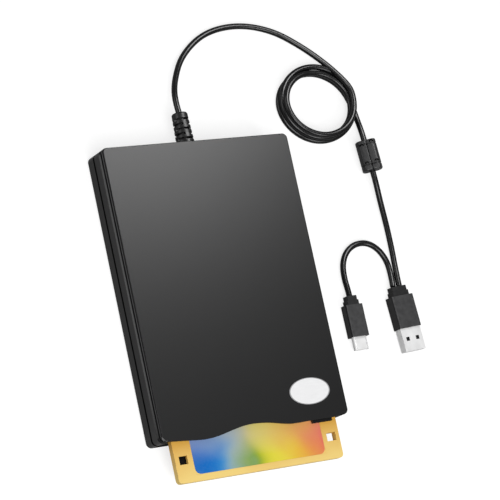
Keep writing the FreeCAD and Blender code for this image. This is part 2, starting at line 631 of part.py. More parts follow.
def make_spindle():
    """The direct-drive motor: board, wound stator, bearing; rotor, shaft and turntable."""
    body = new_body("MotorBoard")
    depth = ("spindle_y - rotor_r - board_ahead", "spindle_y + rotor_r - board_short")
    outline = rectangle(sketch(body, "base_top"), ("-motor_board_half", "motor_board_half"), depth)
    pad(body, outline, "board_thick")
    round_edges(body, "disk_corner", upright_at("motor_board_half", depth))
    pocket(body, circle(sketch(body, "base_top"), "0", "spindle_y", "bearing_r"), "board_thick")
    node("motor_board", body)

    stator_top = "board_top + stator_height"
    core = cut(bar("rotor_r/2", "0", "spindle_y", ("board_top", stator_top)),
               bar("bearing_r", "0", "spindle_y", ("board_top - past", "rotor_top")))
    tip = "rotor_r - rotor_wall - magnet_thick - tooth_gap"
    teeth, coils = [], []
    for i in range(STATOR_POLES):
        teeth.append(spoke(i, STATOR_POLES, "rotor_r/2 - winding_in", tip, "tooth_wide",
                           "board_top + tooth_up", "board_top + tooth_up + tooth_thick"))
        coils.append(spoke(i, STATOR_POLES, "rotor_r/2 + winding_in", f"{tip} - winding_end", "winding_wide",
                           "board_top + winding_play", f"{stator_top} - winding_play"))
    bobbins = [cut(coil, tooth) for coil, tooth in zip(coils, teeth)]
    node("stator_core", fuse(core, *teeth))
    node("stator_coils", group(*bobbins))
    tube = bar("bearing_r", "0", "spindle_y", ("base_bottom", "rotor_top - rotor_wall - bearing_gap"))
    bore = bar("shaft_r + shaft_fit", "0", "spindle_y", ("base_bottom + bearing_floor", "rotor_top"))
    node("spindle_bearing", cut(tube, bore))

    inside = "rotor_r - rotor_wall"
    cup = cut(bar("rotor_r", "0", "spindle_y", ("rotor_bottom", "rotor_top")),
              bar(inside, "0", "spindle_y", ("rotor_bottom - past", "rotor_top - rotor_wall")))
    node("rotor_cup", cut(cup, bar("shaft_r", "0", "spindle_y", ("rotor_bottom", "rotor_top + past"))))
    ring = cut(bar(inside, "0", "spindle_y", ("rotor_bottom", "rotor_top - rotor_wall")),
               bar(f"{inside} - magnet_thick", "0", "spindle_y", ("rotor_bottom - past", "rotor_top")))
    node("rotor_magnet", ring)
    shaft = fuse(bar("shaft_r", "0", "spindle_y", ("base_bottom + bearing_floor + shaft_end", "table_top")),
                 bar("pin_r", "0", "spindle_y", ("table_top", "pin_top")))
    node("spindle_shaft", shaft)
    table = cut(bar("table_r", "0", "spindle_y", ("rotor_top", "table_top")),
                bar("shaft_r", "0", "spindle_y", ("rotor_top - past", "table_top + past")))
    node("turntable", fuse(table, bar("drive_pin_r", "drive_pin_at", "spindle_y", ("rotor_top", "pin_top"))))


def spoke(index, count, inner, outer, wide, bottom, top):
    """One of several equal bars standing out from the spindle's axis."""
    arm = block(("0", f"{outer} - ({inner})"), ("0", wide), ("0", f"{top} - ({bottom})"))
    turn = 2 * math.pi * index / count
    arm.Placement = FreeCAD.Placement(V(), FreeCAD.Rotation(V(0, 0, 1), math.degrees(turn)))
    across, along = math.sin(turn), math.cos(turn)
    return put(arm, f"({inner})*{along:.6f} + ({wide})/2*{across:.6f}",
               f"spindle_y + ({inner})*{across:.6f} - ({wide})/2*{along:.6f}", bottom)


# ---------------------------------------------------------------- loading gear
def make_holder():
    """The raised sheet cage that carries the diskette, with its four cam pins."""
    top = new_body("HolderTop")
    length = ("holder_y", "holder_end")
    pad(top, rectangle(sketch(top, "plate_bottom"), ("-holder_out", "holder_out"), length), "sheet")
    notch = rectangle(sketch(top, "plate_bottom"), ("-arm_opening", "arm_opening"),
                      ("front + arm_opening_at", "holder_end + past"))
    pocket(top, notch, "sheet")
    for x, y, radius in (("0", "holder_y", "finger_r"),
                         ("-holder_in/2 - sight_out", "spindle_y", "sight_r"),
                         ("holder_in/2 + sight_out", "spindle_y - sight_ahead", "sight_r")):
        pocket(top, circle(sketch(top, "plate_bottom"), x, y, radius), "sheet")
    sides = both(("holder_in", "holder_out"), length, ("lip_bottom", "plate_top"))
    lips = both(("holder_in - lip_reach", "holder_out"), length, ("lip_bottom", "lip_bottom + sheet"))
    ring = cut(lever_sector("lever_reach + lever_pin_r + lever_ring"),
               lever_sector("lever_reach - lever_pin_r - lever_ring"))
    node("disk_holder", cut(fuse(top, *sides, *lips), ring))
    ends = (("holder_out", "wall_out + cam_pin_out"), ("-wall_out - cam_pin_out", "-holder_out"))
    node("cam_pins", group(*[bar("cam_pin_r", x, y, "cam_z", "x") for y in cam_rows() for x in ends]))
    washer = "lever_half - post_step"
    head_low = "lever_top + lever_play"
    post = fuse(bar(washer, "lever_x", "lever_y", ("plate_top", "lever_bottom - screw_fit")),
                bar("lever_pivot_r", "lever_x", "lever_y", ("plate_top", head_low)),
                bar(washer, "lever_x", "lever_y", (head_low, f"{head_low} + post_head")))
    node("lever_post", post)


def lever_sector(radius):
    """A pie slice about the lever's pivot, as wide as the lever's pin sweeps."""
    slice_ = doc.addObject("Part::Cylinder", "Sector")
    slice_.setExpression("Radius", bound(radius))
    slice_.setExpression("Height", bound("sheet + past"))
    slice_.setExpression("Angle", bound("2*lever_half_swing + 2*lever_margin"))
    slice_.Placement = FreeCAD.Placement(V(), FreeCAD.Rotation(V(0, 0, 1), 180))
    slice_.setExpression(".Placement.Rotation.Angle", bound("lever_middle - lever_half_swing - lever_margin"))
    return put(slice_, "lever_x", "lever_y", "plate_bottom - past/2")


def make_lever():
    """The flat lever whose pin leads the shutter's corner; modelled along X, then turned."""
    arm = block(("0", "lever_reach"), ("-lever_half", "lever_half"), ("0", "lever_sheet"))
    ends = [bar("lever_half", x, "0", ("0", "lever_sheet")) for x in ("0", "lever_reach")]
    peg = bar("lever_pin_r", "lever_reach", "0", ("disk_bottom + lever_pin_up - lever_bottom", "lever_sheet"))
    bore = bar("lever_pivot_r + lever_play", "0", "0", ("-past", "lever_sheet + past"))
    lever = cut(fuse(arm, peg, *ends), bore)
    lever.Placement = FreeCAD.Placement(V(), FreeCAD.Rotation(V(0, 0, 1), 180))
    lever.setExpression(".Placement.Rotation.Angle", bound("lever_middle + lever_half_swing"))
    node("shutter_lever", put(lever, "lever_x", "lever_y", "lever_bottom"))


def make_eject():
    """The slider: a bridge over the holder, two side arms with sloping cam slots."""
    bridge = new_body("EjectBridge")
    plate_end = "eject_y + eject_plate_long"
    plate = rectangle(sketch(bridge, "bridge_bottom"), ("-arm_out", "arm_out"), ("eject_y", plate_end))
    pad(bridge, plate, "sheet")
    pocket(bridge, circle(sketch(bridge, "bridge_bottom"), "0", plate_end, "finger_r"), "sheet")
    arms = both(("arm_in", "arm_out"), ("eject_y", "eject_y + eject_arm_long"),
                ("bridge_bottom + sheet - eject_arm_deep", "bridge_bottom + sheet"))
    slots = [slanted_slot(y, side) for y in cam_rows() for side in ("arm_in - past", "-arm_out - past")]
    stub_x = ("button_left + stub_in", "button_left + button_width - stub_in")
    stub = block(stub_x, ("front + stub_front", "eject_y"), ("bridge_bottom", "bridge_bottom + sheet"))
    node("eject_slider", cut(fuse(bridge, stub, *arms), *slots))
    button = new_body("ButtonBody")
    cap = rectangle(sketch(button, "button_bottom"), ("button_left", "button_left + button_width"),
                    ("front - button_out", "front + button_deep"))
    pad(button, cap, "button_height")
    round_edges(button, "button_round", upright_at_edges("front - button_out"))
    slit = block((f"{stub_x[0]} - fit_gap", f"{stub_x[1]} + fit_gap"),
                 ("front + stub_front - fit_gap", "front + button_deep + past"),
                 ("bridge_bottom - screw_fit", "bridge_bottom + sheet + screw_fit"))
    node("eject_button", cut(button, slit))


def upright_at_edges(y, slack=0.01):
    """Chooser for upright edges in one row."""
    row = worth(y)
    return lambda edge: (edge.BoundBox.ZLength > slack and edge.BoundBox.XLength < slack
                         and abs(edge.BoundBox.YMin - row) < slack and abs(edge.BoundBox.YMax - row) < slack)


def slanted_slot(y, side):
    """A sloping slot: level with its pin at rest, one lift lower an eject travel behind it."""
    half = worth("cam_pin_r + cam_play")
    start = V(0, worth(y), worth("cam_z"))
    end = start + V(0, worth("eject_travel"), -worth("lift"))
    along = (end - start).normalize()
    across = V(0, -along.z, along.y) * half
    over = along * worth("fit_gap")
    first, last = start - over, end + over
    outline = [Part.makeLine(first + across, last + across),
               Part.Arc(last + across, last + along * half, last - across).toShape(),
               Part.makeLine(last - across, first - across),
               Part.Arc(first - across, first - along * half, first + across).toShape()]
    slot = doc.addObject("Part::Feature", "CamSlot")
    slot.Shape = Part.Face(Part.Wire(outline)).extrude(V(worth("sheet + 2*past"), 0, 0))
    return put(slot, side)


# ---------------------------------------------------------------- head gear
def make_carriage():
    """The head carriage on its rod, with its upper arm hinged on a rear post."""
    body = new_body("CarriageBlock")
    main_part = rectangle(sketch(body, "carriage_bottom"), ("-carriage_left", "carriage_right"),
                          ("head_y + finger_at - past", "carriage_end"))
    pad(body, main_part, "carriage_top - carriage_bottom")
    tongue = rectangle(sketch(body, "carriage_bottom + past"), ("-tongue_half", "tongue_half"),
                       ("head_y - head_r - past", "head_y + finger_at"))
    pad(body, tongue, "carriage_top - carriage_bottom - past")
    relief = rectangle(sketch(body, "carriage_bottom"), ("-tongue_half - past", "tongue_half + past"),
                       ("head_y + finger_at + finger_long", "carriage_end - arm_taper"))
    pocket(body, relief, "carriage_top - carriage_bottom - carriage_skin")
    pin_x = ("-arm_half - ear_gap - ear_thick", "arm_half + ear_gap + ear_thick")
    post = rectangle(sketch(body, "carriage_bottom"), pin_x, ("pivot_y - ear_half", "carriage_end"))
    pad(body, post, "arm_bottom - arm_clear - carriage_bottom")
    finger = block(("leadscrew_x + leadscrew_r + finger_play", "past - carriage_left"),
                   ("head_y + finger_at", "head_y + finger_at + finger_long"),
                   ("leadscrew_z - finger_half", "leadscrew_z + finger_half"))
    ears = both(("arm_half + ear_gap", "arm_half + ear_gap + ear_thick"),
                ("pivot_y - ear_half", "pivot_y + ear_half"),
                ("arm_bottom - arm_clear - fit_gap", "pivot_z + barrel_r"))
    rod_bore = bar("rod_r + rod_fit", "rod_x", ("head_y", "carriage_end + past"), "rod_z", "y")
    pin_bore = bar("barrel_pin_r", pin_x, "pivot_y", "pivot_z", "x")
    node("head_carriage", cut(fuse(body, finger, *ears), rod_bore, pin_bore))
    node("lower_head", bar("head_r", "0", "head_y", ("carriage_top", "carriage_top + head_height")))
    node("arm_pin", bar("barrel_pin_r", pin_x, "pivot_y", "pivot_z", "x"))

    blade = new_body("ArmBlade")
    rear, shoulder = "pivot_y + barrel_r/2", "pivot_y - arm_taper"
    neck, tip = "head_y - head_r/2", "head_y - head_r - barrel_r"
    right = [("arm_tip_half", tip), ("arm_neck_half", neck), ("arm_half", shoulder), ("arm_half", rear)]
    left = [(f"-{x}", y) for x, y in reversed(right)]
    pad(blade, polygon(sketch(blade, "arm_bottom"), left + right), "arm_sheet")
    barrel = bar("barrel_r", ("-arm_half", "arm_half"), "pivot_y", "pivot_z", "x")
    bore = bar("barrel_pin_r + shaft_fit", ("-arm_half - past", "arm_half + past"), "pivot_y", "pivot_z", "x")
    node("upper_arm", cut(fuse(blade, barrel), bore))
    node("upper_head", bar("head_r", "0", "head_y", ("disk_top + head_lift", "arm_bottom")))


def make_head_drive():
    """Guide rod, lead screw and stepper motor."""
    node("guide_rod", bar("rod_r", "rod_x", ("rod_y", "gear_end - past"), "rod_z", "y"))
    clips = [cut(block(("rod_x - clip_half", "rod_x + clip_half"), (low, f"{low} + clip_long"),
                       ("base_top", "rod_z + rod_r + clip_over")),
                 bar("rod_r", "rod_x", (f"{low} - past", f"{low} + clip_long + past"), "rod_z", "y"))
             for low in ("rod_y", "gear_end - past - clip_long")]
    thread = new_body("LeadScrew")
    pad(thread, circle(sketch(thread, "0"), "0", "0", "leadscrew_r"), "stepper_y - leadscrew_y - disk_play")
    thread.Placement = FreeCAD.Placement(V(), FreeCAD.Rotation(V(1, 0, 0), -90))
    node("lead_screw", put(thread, "leadscrew_x", "leadscrew_y", "leadscrew_z"))
    bearing = cut(block(("leadscrew_x - bearing_half", "leadscrew_x + bearing_half"),
                        ("leadscrew_y - clip_over", "leadscrew_y - clip_over + bearing_long"),
                        ("base_top", "leadscrew_z + clip_long")),
                  bar("leadscrew_r + shaft_fit", "leadscrew_x",
                      ("leadscrew_y - fit_gap", "leadscrew_y + bearing_long"), "leadscrew_z", "y"))
    node("rod_and_screw_blocks", group(bearing, *clips))
    can_end = "stepper_y + stepper_long"
    motor = fuse(bar("stepper_r", "leadscrew_x", ("stepper_y", can_end), "leadscrew_z", "y"),
                 bar("stepper_r - stepper_cap", "leadscrew_x", (can_end, f"{can_end} + stepper_cap_long"),
                     "leadscrew_z", "y"))
    node("stepper_motor", motor)


# ---------------------------------------------------------------- boards and switches
def board(label, x, y, bottom):
    """A plain circuit board."""
    body = new_body(label)
    pad(body, rectangle(sketch(body, bottom), x, y), "board_thick")
    return body


def make_boards():
    """Controller board, USB board, the two sense switches and the activity lamp."""
    low = "base_top + board_lift"
    top = f"{low} + board_thick"
    main_x = ("main_board_left", "main_board_right")
    node("main_board", board("MainBoard", main_x, ("main_board_y", "main_board_y + main_board_long"), low))
    large = ("main_board_left + chip_side", "main_board_left + chip_side + chip_wide")
    large_y = ("main_board_y + chip_side", "main_board_y + chip_side + chip_wide")
    small = ("main_board_right - memory_side - memory_wide", "main_board_right - memory_side")
    small_y = ("main_board_y + memory_long", "main_board_y + 2*memory_long")
    chips = [block(x, y, (top, f"{top} + chip_high")) for x, y in ((large, large_y), (small, small_y))]
    node("controller_chips", group(*chips))

    usb_end = "usb_board_y + usb_board_long"
    node("usb_board", board("UsbBoard", ("-usb_board_half", "usb_board_half"), ("usb_board_y", usb_end),
                            "usb_board_z"))
    usb_top, part_y = "usb_board_z + board_thick", "usb_board_y + usb_chip_in"
    coil_x = ("coil_side - usb_board_half", "2*coil_side - usb_board_half")
    parts = [block(x, (part_y, end), (usb_top, f"{usb_top} + {height}")) for x, end, height in (
        (("-2*chip_side", "-chip_side"), f"{usb_end} - usb_chip_in", "usb_chip_high"),
        (("memory_long", "memory_long + crystal_long"), f"{part_y} + 2*usb_chip_in", "crystal_high"),
        (coil_x, f"{part_y} + memory_wide", "coil_case"))]
    node("usb_board_parts", group(*parts))

    switches = []
    for x in ("hole_x", "-hole_x"):
        case = block((f"{x} - switch_half", f"{x} + switch_half"),
                     ("switch_y - switch_long", "switch_y + switch_long"),
                     ("base_top", "table_top - switch_down"))
        plunger = bar("plunger_r", x, "switch_y", ("table_top - switch_down", "pin_top - plunger_down"))
        switches.append(fuse(case, plunger))
    node("sense_switches", group(*switches))
    lamp = block(("light_x - lamp_half", "light_x + lamp_half"),
                 ("front + light_long + fit_gap", "front + light_long + fit_gap + lamp_long"),
                 ("base_top", "light_z + lamp_half"))
    node("activity_led", lamp)


# ---------------------------------------------------------------- diskette
def disk_half_shell(label, low, high, skin_low, skin_high):
    """One half of the diskette's jacket: skin and rim, with every opening cut through."""
    body = new_body(label)
    outline = rectangle(sketch(body, low), ("-disk_width/2", "disk_width/2"), ("disk_tail", "disk_nose"))
    pad(body, outline, f"{high} - ({low})")
    round_edges(body, "disk_corner", upright_at("disk_width/2", ("disk_tail", "disk_nose")))
    cavity_low, cavity_high = (skin_high, high) if skin_low == low else (low, skin_low)
    cavity = circle(sketch(body, cavity_low), "0", "hub_y", "media_r + cavity_play")
    pocket(body, cavity, f"{cavity_high} - ({cavity_low})")
    window = rectangle(sketch(body, low), ("-window_half", "window_half"),
                       ("hub_y + window_in", "hub_y + window_out"))
    pocket(body, window, f"{high} - ({low})")
    sense = rectangle(sketch(body, low), ("hole_x - hole_half", "hole_x + hole_half"),
                      ("disk_tail + hole_in", "disk_tail + hole_in + hole_long"))
    pocket(body, sense, f"{high} - ({low})")
    return body


def make_diskette():
    """The whole diskette: jacket, label and tab; what turns inside; and the sliding shutter."""
    make_jacket()
    make_media()
    make_shutter()


def make_jacket():
    """Jacket halves with the shutter's track, the label in its shallow bed and the tab in its slot."""
    tab_side = ("-hole_x - hole_half", "hole_half - hole_x")
    hole_end = "disk_tail + hole_in + hole_long"
    lower = disk_half_shell("DiskLower", "disk_bottom", "disk_middle", "disk_bottom",
                            "disk_bottom + disk_skin")
    hub_hole = circle(sketch(lower, "disk_bottom"), "0", "hub_y", "hub_r + hub_play")
    pocket(lower, hub_hole, "disk_middle - disk_bottom")
    tab_slot = rectangle(sketch(lower, "disk_bottom"), tab_side,
                         ("disk_tail + hole_in - tab_over", f"{hole_end} + tab_travel + tab_over"))
    pocket(lower, tab_slot, "disk_middle - disk_bottom")
    upper = disk_half_shell("DiskUpper", "disk_middle", "disk_top", "disk_top - disk_skin", "disk_top")
    tab_window = rectangle(sketch(upper, "disk_middle"),
                           (f"{tab_side[0]} + hole_step", f"{tab_side[1]} - hole_step"),
                           ("disk_tail + hole_in", hole_end))
    pocket(upper, tab_window, "disk_top - disk_middle")
    bed_z = "disk_top - label_thick - label_play"
    label_y = ("disk_tail + label_edge", "disk_tail + label_edge + label_long")
    bed = rectangle(sketch(upper, bed_z), ("-label_half - label_play", "label_half + label_play"),
                    (f"{label_y[0]} - label_play", f"{label_y[1]} + label_play"))
    pocket(upper, bed, "label_thick + label_play")
    track_x = ("-shutter_left - shutter_travel - past", "shutter_right + past")
    track_y = ("disk_nose - shutter_long - past", "disk_nose + past")
    track_low = block(track_x, track_y,
                      ("disk_bottom - past", "disk_bottom + shutter_sheet + 2*shutter_play"))
    track_high = block(track_x, track_y, ("disk_top - shutter_sheet - 2*shutter_play", "disk_top + past"))
    track_nose = block(track_x, ("disk_nose - shutter_sheet - 2*shutter_play", "disk_nose + past"),
                       ("disk_bottom - past", "disk_top + past"))
    node("disk_lower_shell", cut(lower, track_low, track_nose))
    node("disk_upper_shell", cut(upper, track_high, track_nose))
    label = new_body("DiskLabel")
    pad(label, rectangle(sketch(label, bed_z), ("-label_half", "label_half"), label_y),
        "label_thick + label_play - label_sunk")
    round_edges(label, "label_r", upright_at("label_half", (label_y[0],)))
    node("disk_label", label)
    tab = block((f"{tab_side[0]} + tab_play", f"{tab_side[1]} - tab_play"),
                ("disk_tail + hole_in - 4*tab_play", f"{hole_end} + 2*tab_play"),
                ("disk_bottom + 2*tab_play", "disk_middle - tab_play/2"))
    node("write_protect_tab", tab)


def make_media():
    """The liners, and the magnetic disc on its stamped steel hub."""
    liners = []
    for low, high in (("disk_bottom + disk_skin", "disk_bottom + disk_skin + liner_thick"),
                      ("disk_top - disk_skin - liner_thick", "disk_top - disk_skin")):
        over = (f"{low} - past", f"{high} + past")
        liners.append(cut(bar("media_r", "0", "hub_y", (low, high)),
                          bar("hub_r + liner_in", "0", "hub_y", over),
                          block(("-window_half", "window_half"), ("hub_y", "disk_nose"), over)))
    node("disk_liners", group(*liners))
    film = cut(bar("media_r - media_play", "0", "hub_y",
                   ("disk_middle - media_thick/2", "disk_middle + media_thick/2")),
               bar("hub_r", "0", "hub_y", ("disk_middle - past", "disk_middle + past")))
    node("magnetic_disc", film)
    hub_low = "disk_bottom + hub_up"
    rim_low = f"{hub_low} + hub_depth"
    hole = "(pin_r + fit_gap)"
    centre_hole = block((f"-{hole}", hole), (f"hub_y - {hole}", f"hub_y + {hole}"), ("disk_bottom", rim_low))
    drive_hole = block(("drive_pin_at - hub_rim", "drive_pin_at + hub_rim"),
                       ("hub_y - drive_hole_back", "hub_y + drive_hole_ahead"), ("disk_bottom", rim_low))
    dish = cut(bar("hub_r", "0", "hub_y", (hub_low, rim_low)),
               bar("hub_r - hub_sheet", "0", "hub_y", (f"{hub_low} + hub_floor", "disk_top")),
               centre_hole, drive_hole)
    rim = cut(bar("hub_r + hub_rim", "0", "hub_y", (rim_low, "disk_middle - media_thick/2")),
              bar("hub_r - hub_sheet", "0", "hub_y", ("disk_bottom", "disk_top")))
    node("disk_hub", fuse(dish, rim))


def make_shutter():
    """The folded steel shutter: two leaves joined over the nose, with a window in both."""
    leaf_x = ("-shutter_left", "shutter_right")
    leaf_y = ("disk_nose - shutter_long", "disk_nose - shutter_play")
    leaves = [block(leaf_x, leaf_y, (low, f"{low} + shutter_sheet"))
              for low in ("disk_bottom + shutter_play", "disk_top - shutter_play - shutter_sheet")]
    web = block(leaf_x, ("disk_nose - shutter_play - shutter_sheet", "disk_nose - shutter_play"),
                ("disk_bottom + shutter_play", "disk_top - shutter_play"))
    view = block(("shutter_travel - window_half", "shutter_travel + window_half"),
                 ("hub_y + window_in", "hub_y + window_out"), ("disk_bottom - past", "disk_top + past"))
    node("disk_shutter", cut(fuse(web, *leaves), view))


# ---------------------------------------------------------------- lead
LEAD_ROUTE = [(-1.1, 97.5, 9.0), (-1.5, 105.0, 8.2), (2.6, 115.6, 4.7), (11.2, 129.2, 1.9),
              (26.6, 140.4, 1.6), (46.6, 143.6, 1.6), (69.6, 137.9, 1.6), (90.6, 124.2, 1.6),
              (103.6, 109.4, 1.6), (103.4, 98.5, 2.0)]
TAIL_ROUTE = [(101.8, 99.5, 4.7), (104.2, 91.6, 4.8), (103.45, 82.7, 4.7), (103.83, 75.69, 4.7)]
RUN_ROUTE = [(104.57, 61.91, 4.7), (104.95, 54.9, 4.7), (106.5, 45.2, 2.4), (107.5, 32.8, 1.6),
             (107.4, 19.8, 1.6), (106.7, 9.6, 2.3), (105.9, 0.5, 3.3)]
PIGTAIL_ROUTE = [(101.6, 0.6, 3.3), (102.9, 7.6, 2.2), (102.7, 15.0, 1.6), (99.0, 21.4, 1.6),
                 (93.1, 25.0, 1.6), (86.0, 24.8, 1.6), (79.9, 21.1, 1.6), (76.4, 14.9, 1.6),
                 (75.5, 7.6, 2.0), (75.7, 2.6, 2.5), (75.7, -1.5, 2.7)]


CORNER_SHARE = 0.45


def cord(label, route):
    """A round cord: straight runs joined by tangent arcs as large as the runs allow."""
    points = [V(*place) for place in route]
    edges, start, radii = [], points[0], []
    for before, corner, after in zip(points, points[1:], points[2:]):
        coming, going = corner - before, after - corner
        turn = coming.getAngle(going)
        trim = CORNER_SHARE * min(coming.Length, going.Length)
        radii.append(trim / math.tan(turn / 2))
        first = corner - coming.normalize() * trim
        last = corner + going.normalize() * trim
        towards = ((first + last) * 0.5 - corner).normalize()
        middle = corner + towards * (radii[-1] / math.cos(turn / 2) - radii[-1])
        edges += [Part.LineSegment(start, first).toShape(), Part.Arc(first, middle, last).toShape()]
        start = last
    edges.append(Part.LineSegment(start, points[-1]).toShape())
    path = Part.Wire(edges)
    radius = worth("cord_r")
    circle_wire = Part.Wire(Part.makeCircle(radius, points[0], points[1] - points[0]))
    tube = doc.addObject("Part::Feature", "Cord")
    tube.Shape = path.makePipeShell([circle_wire], True, False)
    full = math.pi * radius ** 2 * path.Length
    print(f"{label}: length {path.Length:.1f}, radii", [round(item, 1) for item in radii],
          f"volume ratio {tube.Shape.Volume / full:.4f}")
    return node(label, tube)


def make_lead():
    """Strain relief, cord, coil, ferrite choke, USB-A plug and its USB-C pigtail."""
    make_relief()
    cord("cord_lead", LEAD_ROUTE)
    outer = oval_tube("coil_out_x", "coil_out_y")
    inner = oval_tube("coil_out_x - coil_wide", "coil_out_y - coil_wide")
    node("cord_coil", cut(outer, inner))
    cord("cord_tail", TAIL_ROUTE)
    cord("cord_run", RUN_ROUTE)
    cord("cord_pigtail", PIGTAIL_ROUTE)
    make_choke()
    make_plug("usb_a", usb_a_mouth())
    make_plug("usb_c", usb_c_mouth())


RELIEF_RINGS = 5


def make_relief():
    """Strain relief: a turned boot, clipped into the rear wall, with rings cut in to its core.

    A ring leaves two bridges; they stand beside the core in every other ring and above and
    below it in the rings between, so that the boot bends both ways.
    """
    body = new_body("ReliefBoot")
    profile = [("0", "-wall - relief_flange"), ("relief_flange_r", "-wall - relief_flange"),
               ("relief_flange_r", "-wall"), ("relief_neck_r", "-wall"), ("relief_neck_r", "0"),
               ("relief_r", "0"), ("relief_r", "relief_collar"), ("relief_end_r", "relief_long"),
               ("0", "relief_long")]
    drawn = polygon(sketch(body, "0"), profile)
    turned_boot = body.newObject("PartDesign::Revolution", "Revolution")
    turned_boot.Profile = drawn
    turned_boot.ReferenceAxis = (drawn, ["V_Axis"])
    turned_boot.Angle = 360
    body.Tip = turned_boot
    round_edges(body, "relief_round", row_at("relief_long"))
    put(body, "relief_x", "rear", "relief_z")
    rings = []
    for i in range(RELIEF_RINGS):
        low = f"rear + relief_first + {i}*relief_pitch/2"
        over = (f"{low} - past", f"{low} + relief_slot + past")
        ring = cut(bar("relief_r + past", "relief_x", (low, f"{low} + relief_slot"), "relief_z", "y"),
                   bar("relief_core_r", "relief_x", over, "relief_z", "y"))
        shape = ("relief_flange_r", "relief_bridge")
        wide, tall = shape if i % 2 == 0 else reversed(shape)
        bridge = block((f"relief_x - {wide}", f"relief_x + {wide}"), over,
                       (f"relief_z - {tall}", f"relief_z + {tall}"))
        rings.append(cut(ring, bridge))
    node("strain_relief", cut(body, *rings))


def row_at(y, slack=0.01):
    """Chooser for every edge that lies in one plane across Y."""
    row = worth(y)
    return lambda edge: abs(edge.BoundBox.YMin - row) < slack and abs(edge.BoundBox.YMax - row) < slack


def make_choke():
    """Ferrite choke: two rounded halves side by side, clasped round the cord.

    Modelled along Y about its own middle, then turned; the cord's ends sit in a seat at either end.
    """
    for label, side in (("ferrite_lower_half", -1), ("ferrite_upper_half", 1)):
        half = new_body(label.title().replace("_", ""))
        inner, outer = f"{side}*ferrite_split", f"{side}*ferrite_wide/2"
        outline = rectangle(sketch(half, "0"), (min(inner, outer, key=worth), max(inner, outer, key=worth)),
                            ("-ferrite_long/2", "ferrite_long/2"))
        pad(half, outline, "ferrite_high")
        round_edges(half, "ferrite_round", long_edges_at(outer))
        round_edges(half, "ferrite_ease", long_edges_at(inner))
        round_edges(half, "ferrite_end", row_at("ferrite_long/2"))
        round_edges(half, "ferrite_end", row_at("-ferrite_long/2"))
        seats = [bar("cord_r + fit_gap", "0", ends, "ferrite_high/2", "y")
                 for ends in (("-ferrite_long/2 - past", "ferrite_seat - ferrite_long/2"),
                              ("ferrite_long/2 - ferrite_seat", "ferrite_long/2 + past"))]
        clasped = cut(half, *seats)
        turned(clasped, "ferrite_x", "ferrite_y", "0", "ferrite_yaw")
        node(label, clasped)


def long_edges_at(x, slack=0.01):
    """Chooser for the edges along Y at one x."""
    row = worth(x)
    return lambda edge: (edge.BoundBox.YLength > 1 and edge.BoundBox.XLength < slack
                         and edge.BoundBox.ZLength < slack and abs(edge.BoundBox.XMin - row) < slack)


def oval_tube(long_half, wide_half):
    outline = doc.addObject("Part::Ellipse", "CoilOval")
    outline.setExpression("MajorRadius", bound(long_half))
    outline.setExpression("MinorRadius", bound(wide_half))
    put(outline, "coil_x", "coil_y", "0")
    raised = doc.addObject("Part::Extrusion", "CoilBlock")
    raised.Base = outline
    raised.DirMode = "Custom"
    raised.Dir = V(0, 0, 1)
    raised.Solid = True
    raised.setExpression("LengthFwd", bound("coil_high"))
    return raised


def turned(thing, x, y, z, yaw):
    thing.Placement = FreeCAD.Placement(V(), FreeCAD.Rotation(V(0, 0, 1), 10))
    thing.setExpression(".Placement.Rotation.Angle", bound(yaw))
    return put(thing, x, y, z)


def usb_a_mouth():
    """The folded steel mouth of a USB-A plug about its own middle, with its four latch windows."""
    tip, seat = "-usb_a_neck - usb_a_grip - usb_a_shell_long", "-usb_a_neck - usb_a_grip"
    half_w, half_h = "usb_a_shell_wide/2", "usb_a_shell_high/2"
    outer = block((f"-{half_w}", half_w), (tip, seat), (f"-{half_h}", half_h))
    inner = block((f"usb_a_sheet - {half_w}", f"{half_w} - usb_a_sheet"),
                  (f"{tip} - past", f"{seat} - mouth_floor"),
                  (f"usb_a_sheet - {half_h}", f"{half_h} - usb_a_sheet"))
    windows = both(("usb_a_hole_at - usb_a_hole/2", "usb_a_hole_at + usb_a_hole/2"),
                   (f"{tip} + usb_a_hole_in", f"{tip} + usb_a_hole_in + usb_a_hole"),
                   (f"-{half_h} - past", f"{half_h} + past"))
    return cut(outer, inner, *windows)


def usb_c_mouth():
    """The drawn steel mouth of a USB-C plug about its own middle: a tube with round sides."""
    tip, seat = "-usb_c_neck - usb_c_grip - usb_c_shell_long", "-usb_c_neck - usb_c_grip"
    centre = "(usb_c_shell_wide/2 - usb_c_shell_high/2)"

    def rounded(radius, y):
        sides = [bar(radius, f"{sign}{centre}", y, "0", "y") for sign in ("", "-")]
        return fuse(block((f"-{centre}", centre), y, (f"-({radius})", radius)), *sides)
    return cut(rounded("usb_c_shell_high/2", (tip, seat)),
               rounded("usb_c_shell_high/2 - usb_c_sheet", (f"{tip} - past", f"{seat} - mouth_floor")))


